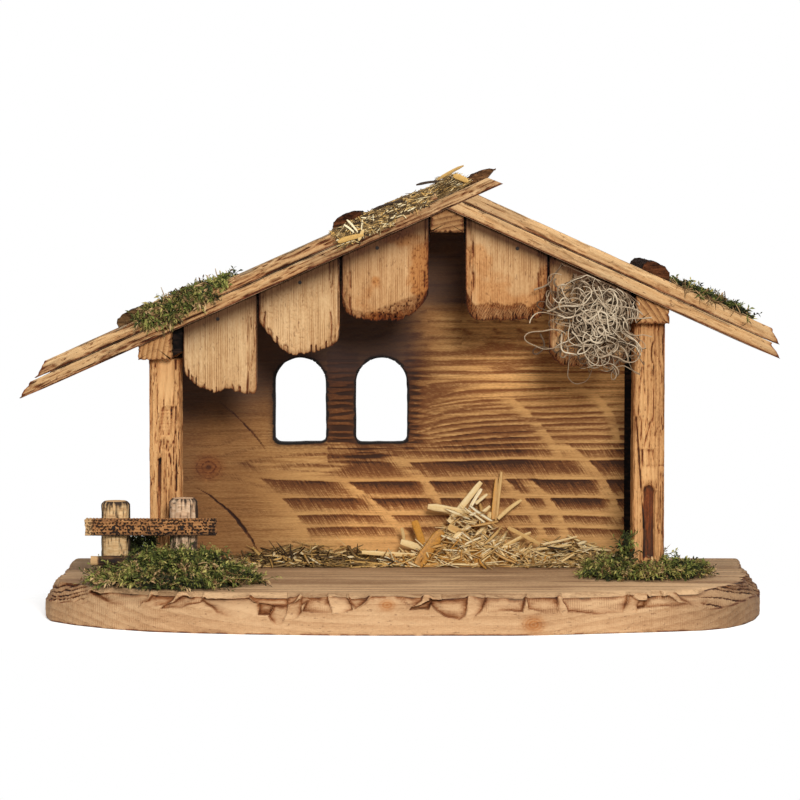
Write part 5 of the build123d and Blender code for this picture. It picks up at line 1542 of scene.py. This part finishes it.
def moss_heap(middle, axes, half, height, count, seed, reach, keep=None, bright=0.0):
    """A mound of sprigs with a few dry stalks between them."""
    rng = np.random.default_rng(seed)
    heap = Heap()
    along, across, out = axes
    mound_core(heap, middle, axes, (half[0] * 0.75, half[1] * 0.72), height * 0.8, seed, 0.12)
    angle = rng.random(count) * math.tau
    limit = 0.72 + 0.34 * noise(at(np.cos(angle) * 2.0 + 5.0, np.sin(angle) * 2.0 + 5.0), seed)
    radius = np.sqrt(rng.random(count)) * limit
    p, q = radius * np.cos(angle) * half[0], radius * np.sin(angle) * half[1]
    lump = fractal(at(p / 9.0, q / 9.0), seed + 1)
    top = height * (1.0 - np.clip(radius, 0.0, 1.0) ** 2) ** 0.6 * (0.35 + 0.8 * lump)
    level = top * np.sqrt(rng.random(count))
    feet = middle + p[:, None] * along + q[:, None] * across + level[:, None] * out
    outward = unit(p[:, None] * along + q[:, None] * across)
    ways = unit(out * 0.5 + outward * (0.2 + 0.9 * radius[:, None]) + rng.normal(size=(count, 3)) * 0.7)
    ways = unit(ways + np.clip(0.16 - ways @ out, 0.0, None)[:, None] * out)
    lengths = reach * (0.45 + 0.9 * rng.random(count))
    tones = moss_tones(lump, bright, rng)
    use = np.ones(count, dtype=bool) if keep is None else keep(feet)
    sprigs(heap, feet[use], ways[use], lengths[use], tones[use], rng)
    inner = (half[0] * 0.85, half[1] * 0.85)
    scatter(heap, count // 16, middle, axes, inner, height * 0.9, (6.0, 20.0), rng=rng, lift=0.5,
            **DRY_STALKS)
    return heap


def clear_of(*circles):
    """Keeps points outside upright posts given by middle and radius; right of a right post only low ones."""
    def keep(feet):
        use = np.ones(len(feet), dtype=bool)
        for x, y, radius in circles:
            use &= np.hypot(feet[:, 0] - x, feet[:, 1] - y) > radius
            use &= (feet[:, 0] < x + radius) | (feet[:, 2] < BASE_TOP + 8.0) | (x < 0.0)
        return use
    return keep


FLOOR_AXES = (X_AXIS, Y_AXIS, Z_AXIS)


def floor_moss(node, count, seed, reach, circles):
    """Moss on the base, with room for the posts that stand in it."""
    low, high = node_box(node)
    middle = (low + high) / 2
    middle[2] = low[2]
    half = (high - low)[:2] / 2
    return moss_heap(middle, FLOOR_AXES, half, high[2] - low[2], count, seed, reach, clear_of(*circles))


def post_circle(node):
    """Middle of a post, and a radius just outside it."""
    low, high = node_box(node)
    middle = (low + high) / 2
    return middle[0], middle[1], (high[0] - low[0]) / 2 + 0.5


def tall_sprigs(heap, low, high, count, tone, seed):
    """A denser stand of sprigs in a box."""
    rng = np.random.default_rng(seed)
    low, high = np.array(low), np.array(high)
    feet = low + (high - low) * rng.random((count, 3))
    ways = unit(Z_AXIS * 0.7 + rng.normal(size=(count, 3)) * 0.6)
    tones = tone[0] + (tone[1] - tone[0]) * rng.random(count)
    sprigs(heap, feet, ways, STAND_REACH * (0.5 + 0.7 * rng.random(count)), tones, rng)


# Denser stands: the length of their sprigs; for each its box, number of sprigs, range of tones and seed.
STAND_REACH = 6.0
FENCE_STANDS = (
    # The first stand is dark moss between the posts behind the rail; its dark tones paint the shade there.
    ((-184.0, -26.0, 28.0), (-163.0, -17.0, 53.0), 420, (0.0, 0.24), 805),
    ((-180.0, -61.0, 27.0), (-106.0, -53.0, 40.0), 560, (0.08, 0.56), 807),
    ((-166.0, -60.0, 38.0), (-118.0, -50.0, 47.0), 340, (0.08, 0.56), 809),
)
POST_STANDS = (((146.0, -22.0, 28.0), (152.0, -16.0, 54.0), 60, (0.05, 0.45), 815),)
for node, count, seed, reach, posts, stands in (
        ("fence_moss", 1250, 801, 7.5, ("outer_fence_post", "inner_fence_post"), FENCE_STANDS),
        ("right_post_moss", 950, 811, 6.5, ("right_front_post",), POST_STANDS)):
    moss = floor_moss(node, count, seed, reach, [post_circle(name) for name in posts])
    for stand in stands:
        tall_sprigs(moss, *stand)
    moss.piece(node, "sprigs", MOSS, "moss")


def roof_moss(node, side, place, half, height, count, drape, seed, bright):
    """Moss on a roof slope, draped over the roof's front edge."""
    along, out = slope_axes(side)
    rng = np.random.default_rng(seed + 5)
    middle = RIDGE + along * place + out * ROOF_THICK
    middle = middle + Y_AXIS * (ROOF_FRONT + half[1])
    heap = moss_heap(middle, (along, Y_AXIS, out), half, height, count, seed, 4.0, bright=bright)
    hang = int(count * smooth(drape, 0.5, 8.0))
    p = (rng.random(hang) * 2.0 - 1.0) * half[0]
    lump = fractal(at(p / 7.0), seed + 7)
    drop = rng.random(hang) * drape * np.sqrt(1.0 - (p / half[0]) ** 2) * (0.4 + 1.1 * lump)
    feet = middle - Y_AXIS * (half[1] + rng.random((hang, 1)) * 1.2) + p[:, None] * along
    feet = feet + (height * 0.5 - drop)[:, None] * out
    ways = unit(-Y_AXIS * 0.35 + rng.normal(size=(hang, 3)) * np.array([0.9, 0.25, 0.7]))
    clump = fractal(at(p / 5.0, drop / 5.0), seed + 8)
    use = clump > 0.4
    tones = moss_tones(clump, bright, rng)
    sprigs(heap, feet[use], ways[use], 3.6 * (0.5 + rng.random(use.sum())), tones[use], rng, 6, 4.2)
    inner = (half[0] * 0.8, drape * 0.4)
    scatter(heap, 26, middle - Y_AXIS * half[1], (along, out, -Y_AXIS), inner, 2.0, (5.0, 14.0), rng=rng,
            lift=0.2, **DRY_STALKS)
    heap.piece(node, "sprigs", MOSS, "moss")


roof_moss("left_roof_moss", -1, 184.0, (36.0, 18.0), 4.0, 460, 14.0, 821, 0.05)
roof_moss("right_roof_moss", 1, 180.8, (31.0, 18.0), 2.4, 330, 1.2, 831, -0.26)


def floor_hay():
    """Loose hay along the wall, left and right of the straw."""
    rng = np.random.default_rng(841)
    heap = Heap()
    low, high = node_box("floor_hay")
    for begin, finish, count, tone, tall, curls in ((low[0] - 3.0, 4.0, 300, (0.1, 0.85), 13.0, 22),
                                                    (82.0, high[0], 360, (0.5, 1.0), 17.0, 7)):
        middle = np.array([(begin + finish) / 2, (low[1] + high[1]) / 2 - 2.0, BASE_TOP])
        half = ((finish - begin) / 2, (high[1] - low[1]) / 2 + 1.0)
        mound_core(heap, middle + Y_AXIS * 4.0, FLOOR_AXES, (half[0] * 0.98, half[1] * 0.7), 7.0, 843, 0.06)
        scatter(heap, count, middle, FLOOR_AXES, half, tall, (8.0, 34.0), (0.8, 3.0), tone, rng, slope=0.8)
        dull = (tone[0] * 0.6, tone[1] * 0.88)
        scatter(heap, count * 5, middle, FLOOR_AXES, half, tall - 2.0, (2.5, 10.0), (0.5, 1.7), dull, rng,
                slope=0.8)
        scatter(heap, curls, middle, FLOOR_AXES, half, tall - 2.0, (12.0, 26.0), (0.9, 1.6), (0.0, 0.1), rng,
                0.4, 6, 5, 0.9, 0.25)
        scatter(heap, 90, middle, FLOOR_AXES, half, tall, (4.0, 15.0), (1.2, 3.2), (0.7, 1.0), rng,
                slope=0.5)
    heap.piece("floor_hay", "fibres", HAY, "hay")


# Straws that stand out in the photo: foot and tip across and up, width, tone, distance in front of the wall.
MAIN_STRAWS = (
    (33.6, 55.2, 55.8, 82.6, 4.8, 0.85, 16.0), (19.2, 66.3, 51.0, 60.3, 5.0, 0.9, 18.0),
    (47.7, 64.1, 56.2, 77.8, 2.6, 0.95, 14.0), (66.2, 55.0, 70.0, 89.3, 2.6, 0.5, 10.0),
    (64.0, 57.0, 66.6, 84.2, 3.2, 0.4, 12.0), (67.4, 57.4, 83.7, 70.0, 3.0, 0.6, 14.0),
    (9.8, 57.0, 15.7, 40.3, 5.6, 0.26, 24.0), (12.0, 27.5, 28.9, 50.2, 8.8, 0.2, 34.0),
    (1.0, 51.4, 2.8, 42.0, 2.4, 0.7, 16.0), (0.6, 42.5, 16.1, 36.5, 5.0, 0.8, 22.0),
    (33.2, 52.9, 46.5, 45.5, 5.2, 0.62, 22.0), (28.0, 31.3, 56.2, 34.3, 3.4, 0.9, 29.0),
    (56.0, 34.3, 76.0, 39.0, 3.4, 0.8, 27.0), (44.0, 50.0, 62.0, 66.0, 3.2, 0.75, 18.0),
    (36.0, 44.0, 54.0, 58.0, 3.6, 0.9, 24.0), (56.0, 44.0, 62.0, 62.0, 3.4, 0.6, 18.0),
    (70.0, 38.0, 90.0, 48.0, 3.0, 0.7, 22.0), (-26.0, 36.0, 18.0, 33.0, 3.2, 0.75, 29.0),
    (52.0, 68.0, 60.0, 74.0, 2.4, 0.9, 15.0), (74.0, 52.0, 96.0, 40.0, 2.8, 0.6, 20.0),
    (84.0, 36.0, 118.0, 40.0, 1.8, 0.7, 24.0), (98.0, 40.0, 122.0, 45.0, 1.5, 0.85, 16.0),
    (44.0, 39.0, 70.0, 44.0, 3.2, 0.85, 26.0), (-4.0, 34.0, -14.0, 30.0, 3.4, 0.45, 28.0),
)


def straw_heap():
    """The straw: single stalks that stand out, over a heap of shorter ones."""
    rng = np.random.default_rng(851)
    heap = Heap()
    wall_front = WALL_LOW[1]
    share = np.linspace(0.0, 1.0, 7)[:, None]
    sides = 10
    for x0, z0, x1, z1, width, tone, ahead in MAIN_STRAWS:
        foot = np.array([x0, wall_front - ahead, z0])
        tip = np.array([x1, wall_front - ahead * 0.75 + rng.normal(), z1])
        sag = np.array([rng.normal(), 0.0, rng.normal()]) * 0.25
        path = foot + (tip - foot) * share + sag * (share * (1.0 - share) * 4.0)
        taper = np.interp(share.T, (0.0, 0.1, 0.84, 1.0), (0.75, 1.0, 0.92, 0.6))
        taper = taper * (0.92 + 0.16 * rng.random((1, len(share))))
        points, faces = tubes(path[None], width / 2 * taper, width / 2 * 0.16, sides, rng, Y_AXIS)
        lined = np.tile(rng.random(sides), len(share)) - 0.5
        heap.put(points, faces, tone - 0.06 + (0.1 if tone < 0.3 else 0.3) * lined)
    middle = np.array([48.0, wall_front - 17.0, BASE_TOP])
    mound_core(heap, middle, FLOOR_AXES, (40.0, 14.0), 15.0, 853, 0.12)
    for half, height, count, length, wide, tone in (
            ((66.0, 15.0), 7.0, 190, (14.0, 44.0), (1.2, 3.8), (0.25, 0.95)),
            ((44.0, 13.0), 17.0, 300, (10.0, 30.0), (1.4, 4.0), (0.3, 0.95)),
            ((24.0, 10.0), 37.0, 330, (7.0, 24.0), (1.0, 3.6), (0.35, 1.0)),
            ((62.0, 15.0), 12.0, 700, (3.0, 11.0), (0.5, 1.8), (0.0, 0.9))):
        scatter(heap, count, middle, FLOOR_AXES, half, height, length, wide, tone, rng, 0.45)
    heap.piece("straw_heap", "stalks", STRAW, "straw")


# Single blades of the roof hay that stand out in the photo: both ends across and up, width and tone.
ROOF_BLADES = ((-40.6, 248.9, -23.6, 253.4, 3.6, 0.66), (-27.0, 249.8, -23.6, 257.0, 2.6, 0.78),
               (-34.7, 263.4, -27.5, 255.2, 1.5, 1.0), (-36.4, 260.0, -30.0, 255.0, 1.5, 1.0),
               (24.5, 289.4, 41.5, 298.6, 2.2, 0.62), (34.7, 292.0, 44.6, 288.0, 4.0, 0.68),
               (10.5, 286.0, 26.0, 288.4, 1.8, 0.0), (-18.0, 270.0, 2.0, 276.0, 1.6, 0.0))


def roof_hay():
    """Chopped hay beside the ridge, draped over the roof's front edge."""
    rng = np.random.default_rng(861)
    heap = Heap()
    along, out = slope_axes(-1)
    place = 39.5
    half = (34.0, 22.0)
    middle = RIDGE + along * place + out * ROOF_THICK
    middle = middle + Y_AXIS * (ROOF_FRONT + half[1])
    axes = (along, Y_AXIS, out)
    mound_core(heap, middle, axes, (33.0, 21.0), 2.2, 863, 0.1)
    scatter(heap, 520, middle, axes, half, 2.4, (4.0, 15.0), (0.5, 2.0), (0.1, 1.0), rng, 0.12)
    scatter(heap, 700, middle, axes, half, 2.4, (2.0, 6.0), (0.3, 1.0), (0.0, 0.8), rng, 0.15)
    crest = middle - along * (place + 5.0) - out * UPPER_BOARD
    mound_core(heap, crest, axes, (18.0, 21.0), 14.0, 865, 0.3)
    scatter(heap, 420, crest, axes, (15.0, 21.5), 13.0, (3.0, 11.0), (0.4, 1.4), (0.1, 1.0), rng, 0.12,
            aside=0.4)
    scatter(heap, 420, crest - Y_AXIS * 18.0, axes, (15.0, 3.4), 12.0, (2.0, 8.0), (0.4, 1.3), (0.1, 1.0),
            rng, 0.12, aside=0.4)
    front = middle - Y_AXIS * (half[1] - 0.3)
    sheet = (along, out, -Y_AXIS)
    for shift, reach, fall, count in ((15.5, 19.0, 5.8, 460), (-12.5, 19.0, 4.5, 380),
                                      (-26.0, 9.0, 2.4, 90)):
        centre = front + along * shift - out * fall
        for height, length, wide, tone in ((1.6, (2.5, 10.0), (0.4, 1.4), (0.0, 1.0)),
                                           (1.0, (2.0, 5.0), (0.4, 1.0), (0.0, 0.6))):
            scatter(heap, count, centre, sheet, (reach, fall), height, length, wide, tone, rng, 0.05,
                    aside=0.3)
    share = np.linspace(0.0, 1.0, 6)[:, None]
    for x0, z0, x1, z1, width, tone in ROOF_BLADES:
        begin, finish = np.array([x0, ROOF_FRONT - 2.2, z0]), np.array([x1, ROOF_FRONT - 2.4, z1])
        path = begin + (finish - begin) * share + Z_AXIS * (share * (1.0 - share) * 2.0)
        taper = np.interp(share.T, (0.0, 0.2, 0.8, 1.0), (0.5, 1.0, 0.9, 0.4))
        points, faces = tubes(path[None], width / 2 * taper, 0.3, 8, rng, Y_AXIS)
        heap.put(points, faces, tone)
    heap.piece("roof_hay", "fibres", HAY, "hay")


floor_hay()
straw_heap()
roof_hay()


# Lichen loops that stand out in the photo: middle across and up, radius, start and end in degrees.
LICHEN_LOOPS = ((95.0, 186.0, 9.0, 20, 330), (129.0, 178.0, 9.0, 100, 420), (146.0, 178.0, 8.0, 150, 430),
                (158.0, 194.0, 9.0, 60, 300), (128.0, 208.0, 11.0, 200, 520), (140.0, 200.0, 12.0, 10, 300),
                (122.0, 192.0, 10.0, 190, 440))


def lichen():
    """A springy tuft of curly strands under the roof, in front of the right-hand board and post."""
    rng = np.random.default_rng(871)
    heap = Heap()
    low, high = node_box("lichen_tuft")
    middle, half = (low + high) / 2, (high - low) / 2
    count = 285
    steps = 28
    step = 1.6
    sides = 6
    place = middle + rng.normal(size=(count, 3)) * half * np.array([0.36, 0.34, 0.34])
    way = unit(rng.normal(size=(count, 3)) * np.array([1.0, 0.45, 1.0]))
    spin = unit(rng.normal(size=(count, 3)) * np.array([0.5, 1.3, 0.5]))
    spin = spin * (0.04 + 0.15 * rng.random((count, 1)))
    path = []
    for _ in range(steps):
        place[:, 1] = np.clip(place[:, 1], low[1] - 1.0, high[1] - 0.4)
        place[:, 2] = np.minimum(place[:, 2], roof_underside(place[:, 0]) - 2.0)
        path.append(place)
        home = (middle - place) / half
        pull = np.clip(np.linalg.norm(home, axis=1, keepdims=True) - 0.75, 0.0, None)
        spin = spin * 0.98 + rng.normal(size=(count, 3)) * 0.045
        way = unit(way + np.cross(spin, way) + unit(home) * pull * 0.6 + rng.normal(size=(count, 3)) * 0.1)
        place = place + way * step
    paths = np.stack(path, axis=1)
    limit = 150.0 + 4.0 * rng.normal(size=(count, 1)) + 17.0 * smooth(-paths[..., 2], -192.0, -180.0)
    over = np.clip(paths[..., 0] - limit + 24.0, 0.0, None)
    paths[..., 0] = paths[..., 0] - over + 24.0 * np.tanh(over / 24.0)
    slim = 0.52 - 0.3 * np.linspace(0.0, 1.0, steps)
    size = slim * (0.6 + 0.8 * rng.random((count, 1)))
    points, faces = tubes(paths, size, size, sides, rng)
    # Painted shade: strands further back get darker tones.
    deep = (paths[..., 1] - low[1]) / (high[1] - low[1])
    tones = np.clip(0.98 - 1.0 * np.clip(deep, 0.0, 1.0) + 0.4 * (rng.random((count, 1)) - 0.5), 0.34, 1.0)
    heap.put(points, faces, np.repeat(tones.ravel(), sides))
    share = np.linspace(0.0, 1.0, 30)
    for x, z, radius, start, end in LICHEN_LOOPS:
        angle = np.radians(start + (end - start) * share)
        wobble = 1.0 + 0.22 * np.sin(angle * 2.3 + x) + 0.16 * np.sin(angle * 3.7 + z) * share
        across = x + np.cos(angle) * radius * wobble * 1.25
        rise = np.minimum(z + np.sin(angle) * radius * wobble * 0.8, roof_underside(across) - 2.0)
        path = np.stack([across, low[1] + 1.5 + 6.0 * share * rng.random(), rise], axis=1)
        points, faces = tubes(path[None], 0.5 - 0.25 * share, 0.5 - 0.25 * share, 7, rng)
        heap.put(points, faces, 0.7 + 0.25 * rng.random())
    heap.piece("lichen_tuft", "strands", LICHEN, "lichen")


lichen()


# Stage, in metres.

LAMP_TARGET = (0.0, 0.0, 0.15)
FLOOR_HALF = 0.7
FLOOR_DROP = 0.0002
# Half axes of the patch of floor that shows before it fades out.
FLOOR_PATCH = (0.25, 0.12)
# Strength of the room's light, and of the white backdrop that the camera and reflections see.
ROOM_LIGHT = 0.3
BACKDROP = 1.0


def area_lamp(name, place, size, power, colour=(1.0, 1.0, 1.0)):
    """A round lamp that points at the stable."""
    light = bpy.data.lights.new(name, "AREA")
    light.shape = "DISK"
    light.size = size
    light.energy = power
    light.color = colour
    lamp = bpy.data.objects.new(name, light)
    lamp.location = place
    bpy.context.scene.collection.objects.link(lamp)
    way = np.array(LAMP_TARGET) - np.array(lamp.location)
    lamp.rotation_euler = (math.atan2(math.hypot(way[0], way[1]), -way[2]), 0.0, math.atan2(-way[0], way[1]))


def floor():
    """A pale floor that takes the object's shadow and fades out round it."""
    make = Shader("pale floor", 0.9, 0.0)
    grain = make.noise(make.place, (40.0,) * 3, 2.0)
    colour = make.mix(grain, (0.93, 0.93, 0.93, 1.0), (0.96, 0.96, 0.96, 1.0))
    make.close(colour, grain, 0.1 * MM, 0.05)
    x, y, _ = make.split(make.place)
    away = make.math("SQRT", make.total(make.math("POWER", make.times(x, 1.0 / FLOOR_PATCH[0]), 2.0),
                                        make.math("POWER", make.times(y, 1.0 / FLOOR_PATCH[1]), 2.0)))
    path = make.add("ShaderNodeLightPath", {}).outputs
    seen = path["Is Camera Ray"]
    for ray in ("Is Glossy Ray", "Is Transmission Ray"):
        seen = make.math("MAXIMUM", seen, path[ray])
    glow = make.add("ShaderNodeEmission", {"Strength": make.times(seen, 0.5)}).outputs[0]
    lit = make.add("ShaderNodeAddShader", {0: make.surface.outputs[0], 1: glow}).outputs[0]
    clear = make.add("ShaderNodeBsdfTransparent", {}).outputs[0]
    fade = make.part(away, 0.95, 1.7)
    out = make.add("ShaderNodeMixShader", {0: fade, 1: lit, 2: clear}).outputs[0]
    make.tree.links.new(out, make.tree.nodes["Material Output"].inputs["Surface"])
    half = FLOOR_HALF
    mesh = bpy.data.meshes.new("floor")
    corners = [(-half, -half, 0), (half, -half, 0), (half, half, 0), (-half, half, 0)]
    mesh.from_pydata(corners, [], [(0, 1, 2, 3)])
    mesh.materials.append(make.material)
    piece = bpy.data.objects.new("floor", mesh)
    piece.location.z = -FLOOR_DROP
    bpy.context.scene.collection.objects.link(piece)


def world():
    """Soft light from all sides, in front of a white backdrop."""
    space = bpy.data.worlds.new("studio")
    space.use_nodes = True
    tree = space.node_tree
    path = tree.nodes.new("ShaderNodeLightPath")
    plain = tree.nodes["Background"]
    white = tree.nodes.new("ShaderNodeBackground")
    for background, strength in ((plain, ROOM_LIGHT), (white, BACKDROP)):
        background.inputs["Color"].default_value = (1.0, 1.0, 1.0, 1.0)
        background.inputs["Strength"].default_value = strength
    pick = tree.nodes.new("ShaderNodeMixShader")
    seen = path.outputs["Is Camera Ray"]
    for ray in ("Is Glossy Ray", "Is Transmission Ray"):
        either = tree.nodes.new("ShaderNodeMath")
        either.operation = "MAXIMUM"
        tree.links.new(seen, either.inputs[0])
        tree.links.new(path.outputs[ray], either.inputs[1])
        seen = either.outputs[0]
    tree.links.new(seen, pick.inputs[0])
    tree.links.new(plain.outputs[0], pick.inputs[1])
    tree.links.new(white.outputs[0], pick.inputs[2])
    tree.links.new(pick.outputs[0], tree.nodes["World Output"].inputs["Surface"])
    bpy.context.scene.world = space


def camera():
    lens = bpy.data.cameras.new("camera")
    lens.lens = CAMERA_LENS
    lens.sensor_width = SENSOR
    eye = bpy.data.objects.new("camera", lens)
    eye.location = CAMERA_PLACE
    eye.rotation_euler = (math.pi / 2 - CAMERA_TILT, 0.0, 0.0)
    bpy.context.scene.collection.objects.link(eye)
    bpy.context.scene.camera = eye


floor()
world()
camera()
area_lamp("key", place=(0.3, -2.2, 0.78), size=0.5, power=40.0, colour=(1.0, 0.98, 0.95))
area_lamp("overhead", place=(0.2, -0.5, 1.9), size=1.4, power=16.0)
bpy.context.scene.view_settings.view_transform = "Standard"
